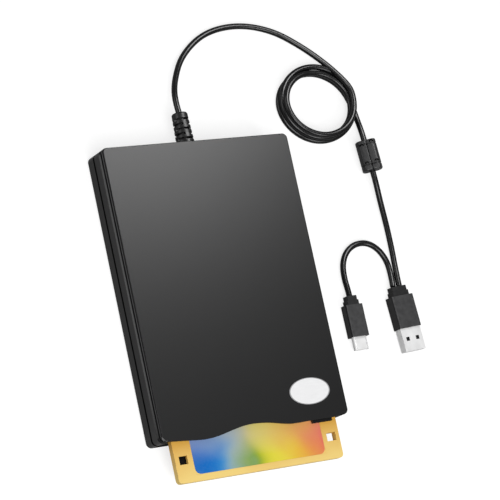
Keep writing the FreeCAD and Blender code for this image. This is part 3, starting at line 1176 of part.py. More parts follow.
def make_plug(kind, mouth):
    """A moulded grip with a stepped neck, its steel mouth and its tongue; the tip points to -Y."""
    grip = new_body(f"{kind.title()}Grip".replace("_", ""))
    seat = f"-{kind}_neck - {kind}_grip"
    outline = rectangle(sketch(grip, f"-{kind}_high/2"), (f"-{kind}_wide/2", f"{kind}_wide/2"),
                        (seat, f"-{kind}_neck"))
    pad(grip, outline, f"{kind}_high")
    round_edges(grip, "plug_round", long_edges_at(f"{kind}_wide/2"))
    round_edges(grip, "plug_round", long_edges_at(f"-{kind}_wide/2"))
    for wide, high, back in ((f"{kind}_neck_wide/2", f"{kind}_neck_high/2", "0"),
                             (f"({kind}_neck_wide/2 + neck_step/2)", f"({kind}_neck_high/2 + neck_step/4)",
                              f"-{kind}_neck/2")):
        neck = rectangle(sketch(grip, f"-{high}"), (f"-{wide}", wide), (f"-{kind}_neck - neck_step/2", back))
        pad(grip, neck, f"2*{high}")
    half_w = f"{kind}_shell_wide/2 - {kind}_sheet - fit_gap"
    tongue = block((f"-({half_w})", half_w),
                   (f"{seat} - {kind}_shell_long + tongue_in", f"{seat} - mouth_floor"),
                   (f"fit_gap - {kind}_tongue/2", f"fit_gap + {kind}_tongue/2"))
    for label, thing in (("grip", grip), ("shell", mouth), ("tongue", group(tongue))):
        turned(thing, f"{kind}_x", f"{kind}_y", f"{kind}_high/2", f"{kind}_yaw")
        node(f"{kind}_{label}", thing)


# ---------------------------------------------------------------- build and write
def check(objects):
    """Stop if any object failed or any piece has no sound solid."""
    for item in objects:
        if {"Invalid", "Error"} & set(item.State):
            raise ValueError(f"{item.Name} ({item.Label}) failed: {item.State}")
    for piece in NODES:
        shape = piece.Shape
        if shape.isNull() or not shape.isValid() or not shape.Solids:
            raise ValueError(f"{piece.Label} has no sound solid")


make_bottom_cover()
make_top_cover()
make_case_trim()
make_bezel()
make_chassis()
make_spindle()
make_holder()
make_lever()
make_eject()
make_carriage()
make_head_drive()
make_boards()
make_diskette()
make_lead()
doc.recompute()
check(doc.Objects)
os.makedirs("parts", exist_ok=True)
for piece in NODES:
    piece.Shape.exportStep(f"parts/{piece.Label}.step")
print(len(NODES), "pieces written")
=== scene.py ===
"""Looks of an external floppy disk drive with its diskette and its USB lead.

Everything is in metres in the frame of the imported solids: +X right, +Y rear, +Z up.
Lengths in the tables below are millimetres, as a maker's drawing gives them.
"""
import math

import bpy
import numpy as np
from mathutils import Matrix


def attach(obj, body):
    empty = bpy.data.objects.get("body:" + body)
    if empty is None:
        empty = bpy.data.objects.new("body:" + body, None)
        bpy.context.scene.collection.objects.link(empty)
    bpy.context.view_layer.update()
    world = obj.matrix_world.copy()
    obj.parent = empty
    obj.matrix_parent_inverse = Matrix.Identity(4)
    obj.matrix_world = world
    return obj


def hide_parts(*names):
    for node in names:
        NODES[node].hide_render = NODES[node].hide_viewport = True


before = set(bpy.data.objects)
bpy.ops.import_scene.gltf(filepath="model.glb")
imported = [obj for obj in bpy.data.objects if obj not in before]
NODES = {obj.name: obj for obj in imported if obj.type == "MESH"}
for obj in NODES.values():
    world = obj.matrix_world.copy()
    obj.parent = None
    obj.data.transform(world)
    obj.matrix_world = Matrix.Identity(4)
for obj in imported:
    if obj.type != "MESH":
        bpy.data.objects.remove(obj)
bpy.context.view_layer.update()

MM = 0.001


# ---------------------------------------------------------------- materials
# the part of a noise's values that is spread over a whole range of tone, and of gloss
TONE_BAND, GRAIN_BAND = (0.35, 0.65), (0.3, 0.7)
# depth in millimetres of the faintest relief
FINE_RELIEF = 0.01
# a Mix node's sockets: its share, then two colours and their result, then two numbers and theirs
SHARE = 0
FIRST_COLOUR, SECOND_COLOUR, MIXED_COLOUR = 6, 7, 2
FIRST_NUMBER, SECOND_NUMBER, MIXED_NUMBER = 2, 3, 0


def linear(code, alpha=1.0):
    """A colour written as sRGB hex, as the linear values that a shader takes."""
    parts = [int(code[i:i + 2], 16) / 255 for i in (1, 3, 5)]
    return tuple(c / 12.92 if c <= 0.04045 else ((c + 0.055) / 1.055) ** 2.4 for c in parts) + (alpha,)


def add(tree, kind, settings=None, links=None):
    """One shader node with its settings (attributes, or sockets by name or number) and links."""
    made = tree.nodes.new("ShaderNode" + kind)
    for key, value in (settings or {}).items():
        if isinstance(key, str) and hasattr(made, key):
            setattr(made, key, value)
        else:
            made.inputs[key].default_value = value
    for key, source in (links or {}).items():
        tree.links.new(source, made.inputs[key])
    return made


def fill(tree, socket, value):
    """Gives a socket a constant or a link."""
    if isinstance(value, bpy.types.NodeSocket):
        tree.links.new(value, socket)
    else:
        socket.default_value = value


def finish(name, **sockets):
    """A new material with its principled shader, whose constant sockets are given by name."""
    made = bpy.data.materials.new(name)
    made.use_nodes = True
    shader = made.node_tree.nodes["Principled BSDF"]
    for key, value in sockets.items():
        shader.inputs[key.replace("_", " ")].default_value = value
    return made, made.node_tree, shader


def place(tree):
    """Object coordinates, which are the row frame's own metres on every piece."""
    return add(tree, "TexCoord").outputs["Object"]


def speckle(tree, where, grain_mm, detail=2.0, stretch=(1, 1, 1)):
    """Noise whose grains are about grain_mm across, drawn out along an axis by a small stretch value."""
    moved = add(tree, "Mapping", {"Scale": stretch}, {"Vector": where})
    return add(tree, "TexNoise", {"Scale": 1 / (2 * grain_mm * MM), "Detail": detail, "Roughness": 0.55},
               {"Vector": moved.outputs["Vector"]}).outputs["Fac"]


def between(tree, value, low, high, start=0.0, end=1.0):
    """value from low..high spread linearly over start..end."""
    return add(tree, "MapRange", {"From Min": low, "From Max": high, "To Min": start, "To Max": end},
               {"Value": value}).outputs["Result"]


def drifting(tree, where, patch_mm):
    """A slow drift from 0 to 1 in patches about patch_mm across."""
    return between(tree, speckle(tree, where, patch_mm), *TONE_BAND)


def roughness(tree, grain, smooth, dull):
    """Roughness that goes from smooth to dull over a grain."""
    return between(tree, grain, *GRAIN_BAND, smooth, dull)


def tinted(tree, share, first, second, blend="MIX"):
    """One colour turning into another as share goes from 0 to 1; each colour is a constant or a link."""
    made = add(tree, "Mix", {"data_type": "RGBA", "blend_type": blend}, {SHARE: share})
    for socket, colour in ((FIRST_COLOUR, first), (SECOND_COLOUR, second)):
        fill(tree, made.inputs[socket], colour)
    return made.outputs[MIXED_COLOUR]


def calc(tree, operation, one, other):
    """A Math node between a link and either a link or a number."""
    made = add(tree, "Math", {"operation": operation}, {0: one})
    fill(tree, made.inputs[1], other)
    return made.outputs["Value"]


def coordinate(tree, where, axis):
    """One coordinate of a place."""
    return add(tree, "SeparateXYZ", None, {"Vector": where}).outputs[axis]


def feed(tree, shader, **sources):
    """Links into a shader, given by the names of its sockets."""
    for key, source in sources.items():
        tree.links.new(source, shader.inputs[key.replace("_", " ")])


def bumped(tree, shader, height, strength, depth_mm):
    """Surface relief from a height between 0 and 1, depth_mm deep."""
    bump = add(tree, "Bump", {"Strength": strength, "Distance": depth_mm * MM}, {"Height": height})
    tree.links.new(bump.outputs["Normal"], shader.inputs["Normal"])


def plastic(name, colour, other, rough, grain_mm=0.35, relief=0.25, depth_mm=0.02, patch_mm=9.0, **sockets):
    """Moulded plastic: a slow drift between two close tones, fine grain in its gloss and its relief."""
    made, tree, shader = finish(name, **sockets)
    where = place(tree)
    drift = drifting(tree, where, patch_mm)
    grain = speckle(tree, where, grain_mm)
    feed(tree, shader, Base_Color=tinted(tree, drift, linear(colour), linear(other)),
         Roughness=roughness(tree, grain, *rough))
    bumped(tree, shader, grain, relief, depth_mm)
    return made


def metal(name, colour, other, rough, along=(1, 1, 1), grain_mm=0.25, relief=0.12, bare=1.0, **sockets):
    """Metal with a drawn or rolled grain: tone, gloss and relief follow noise stretched along the grain.

    bare is how much of the metal shows; below 1 it is dulled by its satin plating.
    """
    made, tree, shader = finish(name, Metallic=bare, **sockets)
    grain = speckle(tree, place(tree), grain_mm, detail=3.0, stretch=along)
    feed(tree, shader, Roughness=roughness(tree, grain, *rough),
         Base_Color=tinted(tree, between(tree, grain, *GRAIN_BAND), linear(colour), linear(other)))
    bumped(tree, shader, grain, relief, FINE_RELIEF)
    return made


# heights on the case in millimetres: glossy side up to the first, satin lid from the second
SATIN_FROM = (17.85, 17.99)
# painted shade: the seam between the covers and the groove under the lid are painted near black
PAINTED_SHADE_BANDS = ((6.6, 8.1), (15.3, 16.6))
# low and high end of a band that leans in, and how deep it goes
LEANING_BANDS = ((13.3, 15.0, 1.3), (16.9, 17.9, 0.85))
# the case's specular level in the open and in the painted shade bands, then the roughness of its side and its
# lid
CASE_SPECULAR, SIDE_ROUGH, LID_ROUGH = (0.43, 0.02), (0.10, 0.16), (0.34, 0.40)
# depth in millimetres of the lid's satin grain
SATIN_GRAIN = 0.004
# a relief's depth in millimetres where its height is already in metres
HEIGHT_IN_METRES = 1000.0


def case_plastic():
    """ABS case moulding: the lid is spark-eroded to a satin grain, its sides are polished.

    The surface leans in over LEANING_BANDS by a relief that falls evenly with height; the
    seam and the groove of PAINTED_SHADE_BANDS are painted near black as painted shade, with almost no gloss.
    """
    made, tree, shader = finish("abs_black_satin_lid_gloss_sides")
    where = place(tree)
    height = coordinate(tree, where, "Z")
    satin = between(tree, height, *(z * MM for z in SATIN_FROM))
    # painted shade: masks of the seam and the groove, which are painted near black
    seam, groove = (calc(tree, "MULTIPLY", calc(tree, "GREATER_THAN", height, low * MM),
                         calc(tree, "LESS_THAN", height, high * MM))
                    for low, high in PAINTED_SHADE_BANDS)
    painted_shade = calc(tree, "MAXIMUM", seam, groove)
    drift = drifting(tree, where, patch_mm=22.0)
    side_tone = tinted(tree, drift, linear("#131314"), linear("#171718"))
    lid_tone = tinted(tree, drift, linear("#09090A"), linear("#0B0B0C"))
    tone = tinted(tree, satin, side_tone, lid_tone)
    grain = speckle(tree, where, grain_mm=0.22, detail=3.0)
    gloss, matt = (roughness(tree, grain, *ends) for ends in (SIDE_ROUGH, LID_ROUGH))
    rough = add(tree, "Mix", {"data_type": "FLOAT"},
                {SHARE: satin, FIRST_NUMBER: gloss, SECOND_NUMBER: matt}).outputs[MIXED_NUMBER]
    feed(tree, shader, Base_Color=tinted(tree, painted_shade, tone, linear("#030303")), Roughness=rough,
         Specular_IOR_Level=between(tree, painted_shade, 0.0, 1.0, *CASE_SPECULAR))
    relief = calc(tree, "MULTIPLY", calc(tree, "MULTIPLY", grain, satin), SATIN_GRAIN * MM)
    for low, high, depth in LEANING_BANDS:
        relief = calc(tree, "ADD", relief, between(tree, height, low * MM, high * MM, 0.0, -depth * MM))
    bumped(tree, shader, relief, strength=1.0, depth_mm=HEIGHT_IN_METRES)
    return made


# where the badge's darker rim begins and is full, as shares of the way from its middle to its edge
BADGE_RIM = (0.93, 0.97)


def badge_plate():
    """Silver-lacquered oval badge: brushed along X under a clear coat, its rim left a darker silver.

    The distance from the middle is 1 on the oval's edge: the root of (x/a)^2 + (y/b)^2.
    """
    made, tree, shader = finish("badge_brushed_silver_lacquer", Metallic=0.1, Coat_Weight=0.5,
                                Coat_Roughness=0.12, Specular_IOR_Level=0.5)
    where = place(tree)
    corners = np.array(NODES["badge"].bound_box)
    middle, half = (corners.max(0) + corners.min(0)) / 2, (corners.max(0) - corners.min(0)) / 2
    from_middle = add(tree, "VectorMath", {"operation": "SUBTRACT", 1: tuple(middle)},
                      {0: where}).outputs["Vector"]
    flattened = add(tree, "VectorMath", {"operation": "MULTIPLY", 1: (1 / half[0], 1 / half[1], 0.0)},
                    {0: from_middle}).outputs["Vector"]
    distance = add(tree, "VectorMath", {"operation": "LENGTH"}, {0: flattened}).outputs["Value"]
    lines = speckle(tree, where, grain_mm=0.12, stretch=(0.06, 1, 1))
    face = tinted(tree, lines, linear("#F4F4F5"), linear("#FDFDFE"))
    feed(tree, shader, Base_Color=tinted(tree, between(tree, distance, *BADGE_RIM), face, linear("#9A9A9C")),
         Roughness=roughness(tree, lines, smooth=0.32, dull=0.42))
    bumped(tree, shader, lines, strength=0.06, depth_mm=FINE_RELIEF)
    return made


# how far below a plug's top the painted light on its top face begins and is full, in millimetres
GRIP_PAINTED_LIGHT = (0.25, 0.05)


def plug_grip(label):
    """Overmould of a plug: its level top is painted paler than its sides, as painted light from above."""
    made, tree, shader = finish("tpe_black_" + label, Specular_IOR_Level=0.45)
    where = place(tree)
    top = max(corner[2] for corner in NODES[label].bound_box)
    level = between(tree, coordinate(tree, where, "Z"), *(top - below * MM for below in GRIP_PAINTED_LIGHT))
    # painted light: the top face's paler tone stands for the light falling on it from above
    paler = tinted(tree, drifting(tree, where, patch_mm=1.2), linear("#363637"), linear("#414142"))
    grain = speckle(tree, where, grain_mm=0.5)
    feed(tree, shader, Base_Color=tinted(tree, level, linear("#161617"), paler),
         Roughness=roughness(tree, grain, smooth=0.34, dull=0.44))
    bumped(tree, shader, grain, strength=0.06, depth_mm=FINE_RELIEF)
    return made


# along Y in millimetres: where painted shade from the slot begins to turn the diskette's yellow orange, and
# where it is full
DISK_SLOT_SHADE = (-80.0, -62.0)
# how far that turn wanders to either side, as a share of its length
DISK_WANDER = 0.15


def disk_plastic():
    """Diskette moulding: pale yellow at the tail, turned orange by painted shade towards and inside the slot.
    """
    made, tree, shader = finish("abs_yellow_diskette", Specular_IOR_Level=0.4)
    where = place(tree)
    depth = between(tree, coordinate(tree, where, "Y"), *(y * MM for y in DISK_SLOT_SHADE))
    wander = between(tree, speckle(tree, where, grain_mm=12.0), *GRAIN_BAND, -DISK_WANDER, DISK_WANDER)
    # painted shade: the yellow darkens to orange towards the slot, under the lid
    slot_shade = calc(tree, "ADD", depth, wander)
    grain = speckle(tree, where, grain_mm=0.25)
    feed(tree, shader, Base_Color=tinted(tree, slot_shade, linear("#F2D27C"), linear("#DCA542")),
         Roughness=roughness(tree, grain, smooth=0.34, dull=0.46))
    bumped(tree, shader, grain, strength=0.18, depth_mm=0.015)
    return made


# the label's print in millimetres: half its width along X, and where along Y a painted reflection begins to
# pale it and is full
LABEL_HALF, LABEL_REFLECTION = 35.5, (-74.0, -62.0)
# how far the blend wanders across, and the painted reflection's paling along Y, as shares of their lengths
ACROSS_WANDER, REFLECTION_WANDER = 0.05, 0.2
# the part of the speckle's values that shows as paler printing dots
DOT_BAND = (0.4, 0.9)
# its blend from left to right, first the print at the open end and then towards the slot, paled by a painted
# reflection: colour and share of the way
LABEL_BLENDS = (
    (("#0062B8", 0.00), ("#0070C4", 0.14), ("#3A90CC", 0.24), ("#8FB0B4", 0.33), ("#6C9834", 0.42),
     ("#B4BC2C", 0.49), ("#E2D83C", 0.58), ("#E6D444", 0.70), ("#E8A838", 0.84), ("#E4705C", 0.98)),
    (("#7088C0", 0.02), ("#8CA4C4", 0.14), ("#A4B0B8", 0.26), ("#B6B6A4", 0.36), ("#C8BE84", 0.46),
     ("#D6C870", 0.56), ("#DEBE62", 0.68), ("#E0A858", 0.80), ("#E09460", 0.90), ("#E08068", 0.98)))


def colour_ramp(tree, share, stops):
    """A smooth run through colours as share goes from 0 to 1."""
    ramp = add(tree, "ValToRGB", None, {"Fac": share})
    ramp.color_ramp.interpolation = "B_SPLINE"
    marks = ramp.color_ramp.elements
    while len(marks) < len(stops):
        marks.new(0.5)
    for mark, (code, at) in zip(marks, stops):
        mark.position = at
        mark.color = linear(code)
    return ramp.outputs["Color"]


def label_print():
    """Coated paper label printed with a soft colour blend across its width.

    The blend runs along X through a ramp; a second, paler layer, a painted reflection, fades in towards the
    slot, and a faint speckle of printing dots breaks both up.
    """
    made, tree, shader = finish("label_coated_paper_colour_blend", Specular_IOR_Level=0.25,
                                Coat_Weight=0.05, Coat_Roughness=0.2)
    where = place(tree)
    wander = speckle(tree, where, grain_mm=9.0, detail=1.0)
    across = calc(tree, "ADD", between(tree, coordinate(tree, where, "X"), -LABEL_HALF * MM, LABEL_HALF * MM),
                  between(tree, wander, *GRAIN_BAND, -ACROSS_WANDER, ACROSS_WANDER))
    # painted reflection: a paler, greyer layer over the print towards the slot
    painted_reflection = calc(tree, "ADD", between(tree, coordinate(tree, where, "Y"), *(y * MM for y in LABEL_REFLECTION)),
                between(tree, wander, *GRAIN_BAND, -REFLECTION_WANDER, REFLECTION_WANDER))
    blend = tinted(tree, painted_reflection, *(colour_ramp(tree, across, stops) for stops in LABEL_BLENDS))
    dots = speckle(tree, where, grain_mm=0.5, detail=1.0)
    paled = tinted(tree, between(tree, dots, *DOT_BAND), blend, linear("#1C1C1C"), "SCREEN")
    feed(tree, shader, Base_Color=paled, Roughness=roughness(tree, dots, smooth=0.32, dull=0.42))
    bumped(tree, shader, dots, strength=0.05, depth_mm=FINE_RELIEF)
    return made


FINISHES = {
    "case": case_plastic(),
    "badge": badge_plate(),
    "label": label_print(),
    "bezel": plastic("abs_black_fine_texture", "#141415", "#19191A", (0.26, 0.36), 0.3, 0.2,
                     Specular_IOR_Level=0.4),
    "button": plastic("abs_black_polished", "#101011", "#151516", (0.12, 0.2), 0.4, 0.05,
                      Specular_IOR_Level=0.45),
    "cord": plastic("pvc_black_cord_jacket", "#0C0C0D", "#121213", (0.22, 0.28), 2.0, 0.04, 0.02, 14.0,
                    Specular_IOR_Level=0.45),
    "boot": plastic("pvc_black_moulded_boot", "#101011", "#151516", (0.34, 0.42), 1.2, 0.03,
                    Specular_IOR_Level=0.45),
    "grip_a": plug_grip("usb_a_grip"),
    "grip_c": plug_grip("usb_c_grip"),
    "choke": plastic("abs_black_choke_case", "#202021", "#262627", (0.36, 0.44), 1.5, 0.03, 0.01,
                     Specular_IOR_Level=0.5),
    # painted shade: a near-black bead stands for the shadow inside each latch slot of the choke
    "slot": plastic("painted_shade_latch_slot", "#020202", "#050505", (0.6, 0.7), 0.3, 0.1,
                    Specular_IOR_Level=0.05),
    "rubber": plastic("rubber_black_feet", "#111112", "#19191A", (0.75, 0.9), 0.3, 0.4,
                      Specular_IOR_Level=0.3),
    "disk": disk_plastic(),
    # the black write-protect tab, painted nearer black still as painted shade in the hole it is seen through
    "tab": plastic("acetal_black_tab_and_hole_shade", "#030303", "#060606", (0.6, 0.7), 0.3, 0.1,
                   Specular_IOR_Level=0.1),
    "grey": plastic("glass_filled_grey_plastic", "#4A4B4E", "#55565A", (0.5, 0.65), 0.25, 0.3),
    "epoxy": plastic("epoxy_black_package", "#131314", "#1B1B1C", (0.55, 0.7), 0.2, 0.3),
    "board": plastic("solder_resist_green", "#0C4A2B", "#12593A", (0.28, 0.4), 1.2, 0.25, 0.02, 5.0),
    "fleece": plastic("fleece_white_liner", "#DAD9D4", "#EDECE8", (0.9, 1.0), 0.3, 0.7, 0.05, 3.0,
                      Sheen_Weight=0.3),
    "film": plastic("oxide_brown_film", "#2A1C15", "#33231A", (0.12, 0.18), 1.5, 0.03, 0.01, 20.0),
    "ferrite": plastic("ferrite_dark_grey", "#2A2A2C", "#36363A", (0.6, 0.75), 0.3, 0.4),
    "ceramic": plastic("ceramic_head_polished", "#A9A294", "#B8B1A2", (0.1, 0.18), 0.5, 0.04),
    "nylon": plastic("nylon_dark_tongue", "#16171A", "#1F2024", (0.4, 0.5), 0.3, 0.15),
    "nickel": metal("steel_nickel_plated", "#F2F2F2", "#FAFAFA", (0.42, 0.5), (1, 0.4, 1), 1.5, 0.02, 0.35),
    "zinc": metal("steel_zinc_plated_sheet", "#A9ABAD", "#BFC1C4", (0.3, 0.48), (1, 0.15, 1), 0.6),
    "ground": metal("steel_ground_bright", "#BDBEC2", "#D3D4D8", (0.12, 0.22), (1, 1, 0.1), 0.2),
    "stainless": metal("stainless_brushed_shutter", "#B4B5B8", "#CBCCCF", (0.24, 0.38), (0.08, 1, 1), 0.2),
    "bronze": metal("bronze_sintered_bearing", "#8A6A44", "#A07E55", (0.45, 0.6)),
    "copper": metal("copper_enamelled_wire", "#9A4F28", "#B9673A", (0.25, 0.4), (1, 1, 0.2), 0.25, 0.5,
                    Coat_Weight=0.4),
    "screw": metal("steel_black_zinc_screw", "#3A3B3F", "#4A4B50", (0.3, 0.45)),
}


def clear_plastic(name, colour, other, smooth, dull):
    """Light-guide acrylic and LED lens: tinted and partly see-through."""
    made, tree, shader = finish(name, Transmission_Weight=0.6, IOR=1.49)
    drift = speckle(tree, place(tree), grain_mm=1.5)
    feed(tree, shader, Base_Color=tinted(tree, drift, linear(colour), linear(other)),
         Roughness=roughness(tree, drift, smooth, dull))
    return made


FINISHES["acrylic"] = clear_plastic("acrylic_light_guide", "#C9E8C6", "#DDF2DA", 0.08, 0.16)
FINISHES["lens"] = clear_plastic("led_lens_green", "#6FCB6A", "#8ADB82", 0.15, 0.23)

NODE_FINISH = {
    "case": ["top_cover", "bottom_cover"],
    "badge": ["badge"],
    "label": ["disk_label"],
    "bezel": ["front_bezel"],
    "button": ["eject_button"],
    "rubber": ["rubber_feet"],
    "screw": ["case_screws", "chassis_screws"],
    "acrylic": ["light_pipe"],
    "lens": ["activity_led"],
    "zinc": ["chassis", "disk_holder", "eject_slider", "shutter_lever", "rotor_cup", "stepper_motor"],
    "stainless": ["disk_shutter", "turntable", "disk_hub"],
    "ground": ["cam_pins", "lever_post", "guide_rod", "lead_screw", "arm_pin", "spindle_shaft"],
    "bronze": ["spindle_bearing"],
    "ferrite": ["rotor_magnet"],
    "copper": ["stator_coils"],
    "nickel": ["stator_core", "usb_a_shell", "usb_c_shell"],
    "board": ["motor_board", "main_board", "usb_board"],
    "epoxy": ["controller_chips", "usb_board_parts", "sense_switches"],
    "grey": ["head_carriage", "upper_arm", "rod_and_screw_blocks"],
    "ceramic": ["lower_head", "upper_head"],
    "disk": ["disk_lower_shell", "disk_upper_shell"],
    "fleece": ["disk_liners"],
    "film": ["magnetic_disc"],
    "nylon": ["usb_a_tongue", "usb_c_tongue"],
    "tab": ["write_protect_tab"],
    "boot": ["strain_relief"],
    "grip_a": ["usb_a_grip"],
    "grip_c": ["usb_c_grip"],
    "choke": ["ferrite_lower_half", "ferrite_upper_half"],
    "cord": ["cord_lead", "cord_coil", "cord_tail", "cord_run", "cord_pigtail"],
}
for finish_name, labels in NODE_FINISH.items():
    for label in labels:
        NODES[label].data.materials.clear()
        NODES[label].data.materials.append(FINISHES[finish_name])


# ---------------------------------------------------------------- meshes
def surface(name, points, faces, material, body, sharp=40.0):
    """A mesh piece from points in millimetres and a list of faces, riding on a body.

    Edges bent by more than sharp degrees stay sharp.
    """
    mesh = bpy.data.meshes.new(name)
    mesh.from_pydata(np.asarray(points) * MM, [], [list(map(int, face)) for face in faces])
    mesh.validate()
    mesh.shade_smooth()
    mesh.set_sharp_from_angle(angle=math.radians(sharp))
    mesh.materials.append(material)
    made = bpy.data.objects.new(name, mesh)
    bpy.context.scene.collection.objects.link(made)
    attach(made, body)
    return made


def ring_faces(rows, count):
    """Quads of a grid of rows of count points, closed round each row, and the two end caps."""
    row, col = np.meshgrid(np.arange(rows - 1), np.arange(count), indexing="ij")
    after = (col + 1) % count
    quads = np.stack([row * count + col, row * count + after, (row + 1) * count + after,
                      (row + 1) * count + col], -1).reshape(-1, 4)
    start = np.arange(count)[::-1]
    end = (rows - 1) * count + np.arange(count)
    return quads.tolist() + [start.tolist(), end.tolist()]


def turned(points, x, y, yaw):
    """Points turned about Z by yaw degrees and moved along X and Y."""
    c, s = math.cos(math.radians(yaw)), math.sin(math.radians(yaw))
    return np.asarray(points) @ np.array([[c, s, 0], [-s, c, 0], [0, 0, 1]]) + np.array([x, y, 0.0])


def arc_bead(x, y, z, radius, thick, start, stop, steps=16, sides=10):
    """Points of a round bead bent along an arc: (R + r cos v) about the arc's middle, height -r sin v."""
    around = np.radians(np.linspace(start, stop, steps))[:, None]
    v = np.linspace(0, 2 * np.pi, sides, endpoint=False)[None, :]
    out = radius + thick / 2 * np.cos(v)
    points = np.stack([x + out * np.cos(around), y + out * np.sin(around),
                       z - thick / 2 * np.sin(v) + 0 * around], -1)
    return points.reshape(-1, 3), ring_faces(steps, sides)


# the choke's middle on the table and its height, then its turn and its roll about its length in degrees
CHOKE_AT, CHOKE_MIDDLE, CHOKE_YAW, CHOKE_ROLL = (104.2, 68.8), 5.1, 3.1, 28.0
# its length and the radius round its ends
CHOKE_LONG, CHOKE_END = 15.8, 0.6
# a lobe's half sizes across and through, its middle's place across, and how square it is outside and inside
LOBE, LOBE_AT, LOBE_POWERS = (2.60, 3.9), 2.62, (2.3, 14.0)
# the collar grooves' places along the choke, their half width at the top and at the floor, and their depth
COLLARS, COLLAR_GROOVE = (-5.0, 5.6), (0.35, 0.15, 0.4)
# each latch's place along the choke and across it
LATCHES = [(-4.3, -2.3), (-4.0, 2.8), (5.0, -2.6), (6.3, 2.6)]
# how far a latch's beads sink into the lobe, then each bead's radius, thickness and half its span in degrees;
# the slot's bead is painted shade
LATCH_SUNK, LATCH_SLOT_SHADE, LATCH_HEAD = 0.1, (0.85, 0.7, 90), (0.22, 0.4, 170)
# points round a lobe, and rings over the quarter circle at its ends
LOBE_SIDES, END_RINGS = 48, 6


def choke_placed(points):
    """Points made along the choke's own axes: rolled about its length, then turned and moved into place."""
    across, along, up = np.asarray(points).T
    c, s = math.cos(math.radians(CHOKE_ROLL)), math.sin(math.radians(CHOKE_ROLL))
    rolled = np.stack([c * across - s * up, along, CHOKE_MIDDLE + s * across + c * up], -1)
    return turned(rolled, *CHOKE_AT, CHOKE_YAW)


def choke_lobe(name, side, node_name):
    """One half of the choke's case, a lobe that meets the other along a narrow parting line.

    Every ring is the curve |u|^p + |w|^p = 1, with the first power of LOBE_POWERS outside and
    the second towards the parting; it is drawn in round the ends by a quarter circle and at
    the collar grooves.
    """
    stations = [(CHOKE_LONG / 2 - CHOKE_END * (1 - math.cos(q)), CHOKE_END * (1 - math.sin(q)))
                for q in np.linspace(0, np.pi / 2, END_RINGS)]
    stations += [(-along, inset) for along, inset in stations]
    top, floor_half, depth = COLLAR_GROOVE
    for middle in COLLARS:
        stations += [(middle + step, inset) for step, inset in ((-top, 0), (-floor_half, depth),
                                                                 (floor_half, depth), (top, 0))]
    stations.sort(reverse=True)
    turn = np.linspace(0, 2 * np.pi, LOBE_SIDES, endpoint=False)
    cosine, sine = np.cos(turn), np.sin(turn)
    power = np.where(cosine * side > 0, *LOBE_POWERS)
    unit_u = np.sign(cosine) * np.abs(cosine) ** (2 / power)
    unit_w = np.sign(sine) * np.abs(sine) ** (2 / power)
    rings = [np.stack([side * LOBE_AT + (LOBE[0] - inset) * unit_u, np.full(turn.size, along),
                       (LOBE[1] - inset) * unit_w], -1) for along, inset in stations]
    made = surface(name, choke_placed(np.concatenate(rings)), ring_faces(len(rings), turn.size),
                   FINISHES["choke"], "case")
    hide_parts(node_name)
    return made


def choke_latches(name, material, slot, radius, thick, half_span):
    """A bead bent round each latch: a near-black bead of painted shade where the slot it springs in would be,
    or its small round head.
    """
    points, faces = [], []
    for along, across in LATCHES:
        bead, quads = arc_bead(across, along, LOBE[1] - LATCH_SUNK, radius, thick,
                               90 - half_span, 90 + half_span)
        faces += [[corner + len(points) for corner in quad] for quad in quads]
        points += bead.tolist()
    return surface(name, choke_placed(points), faces, FINISHES[material], "case")


CHOKE_PIECES = [choke_lobe("choke_lobe_left", -1, "ferrite_lower_half"),
                choke_lobe("choke_lobe_right", 1, "ferrite_upper_half"),
                choke_latches("choke_latch_slot_shade", "slot", "gloss_black", *LATCH_SLOT_SHADE),
                choke_latches("choke_latch_heads", "choke", "gloss_black", *LATCH_HEAD)]


# ---------------------------------------------------------------- lead
CORD_D = 3.0
# control points of the lead, from the strain relief to the coil
LEAD = [(-1.1, 97.5, 9.0), (-1.5, 105.0, 8.2), (2.6, 115.6, 4.7), (11.2, 129.2, 1.9), (26.6, 140.4, 1.6),
        (46.6, 143.6, 1.6), (66.0, 139.4, 1.6), (80.9, 129.5, 2.4), (91.0, 119.3, 4.6), (97.4, 110.0, 7.1),
        (100.8, 104.6, 7.4)]
# the way straight across under the coil, and on to the choke
TAIL = [(85.1, 115.5, 1.6), (94.3, 111.4, 1.6), (100.0, 105.2, 1.6), (102.6, 97.8, 1.6),
        (103.6, 94.5, 1.6), (103.9, 89.0, 2.3), (103.6, 82.7, 4.2), (103.83, 75.69, 4.7)]
# from the choke to the USB-A plug, and the branch from that plug to the USB-C one
RUN = [(104.57, 61.91, 4.7), (104.95, 54.9, 4.7), (106.5, 45.2, 2.4), (107.5, 32.8, 1.6),
       (107.4, 19.8, 1.6), (106.4, 9.6, 2.3), (105.6, 0.5, 3.3)]
PIGTAIL = [(101.9, 0.6, 3.3), (103.1, 7.6, 2.2), (102.7, 15.0, 1.6), (99.0, 21.4, 1.6), (93.1, 25.0, 1.6),
           (86.0, 24.8, 1.6), (79.9, 21.1, 1.6), (76.4, 14.9, 1.6), (75.5, 7.6, 2.0), (75.7, 2.6, 2.5),
           (75.7, -1.5, 2.7)]
# the coil's middle, and how much shorter its half axis along Y is than the one along X
COIL_CENTRE, COIL_SQUASH = (81.8, 99.2), 2.2
# the coil's line: turns made so far, long half axis, height
COIL_KEYS = [(0.0, 19.6, 7.4), (0.125, 20.2, 7.3), (0.25, 20.6, 7.1), (0.5, 20.2, 6.9), (0.65, 18.7, 6.0),
             (0.75, 17.8, 5.0), (0.875, 17.9, 4.6), (1.0, 18.8, 4.6), (1.125, 20.2, 4.6), (1.25, 21.2, 4.3),
             (1.5, 21.1, 4.3), (1.65, 21.1, 4.4), (1.75, 21.3, 4.5), (1.875, 21.4, 4.4), (2.0, 21.4, 4.2),
             (2.125, 22.0, 2.8), (2.25, 22.2, 1.6), (2.5, 22.0, 1.6), (2.6, 20.9, 1.6), (2.7, 18.9, 1.6)]
POINTS_A_TURN = 16


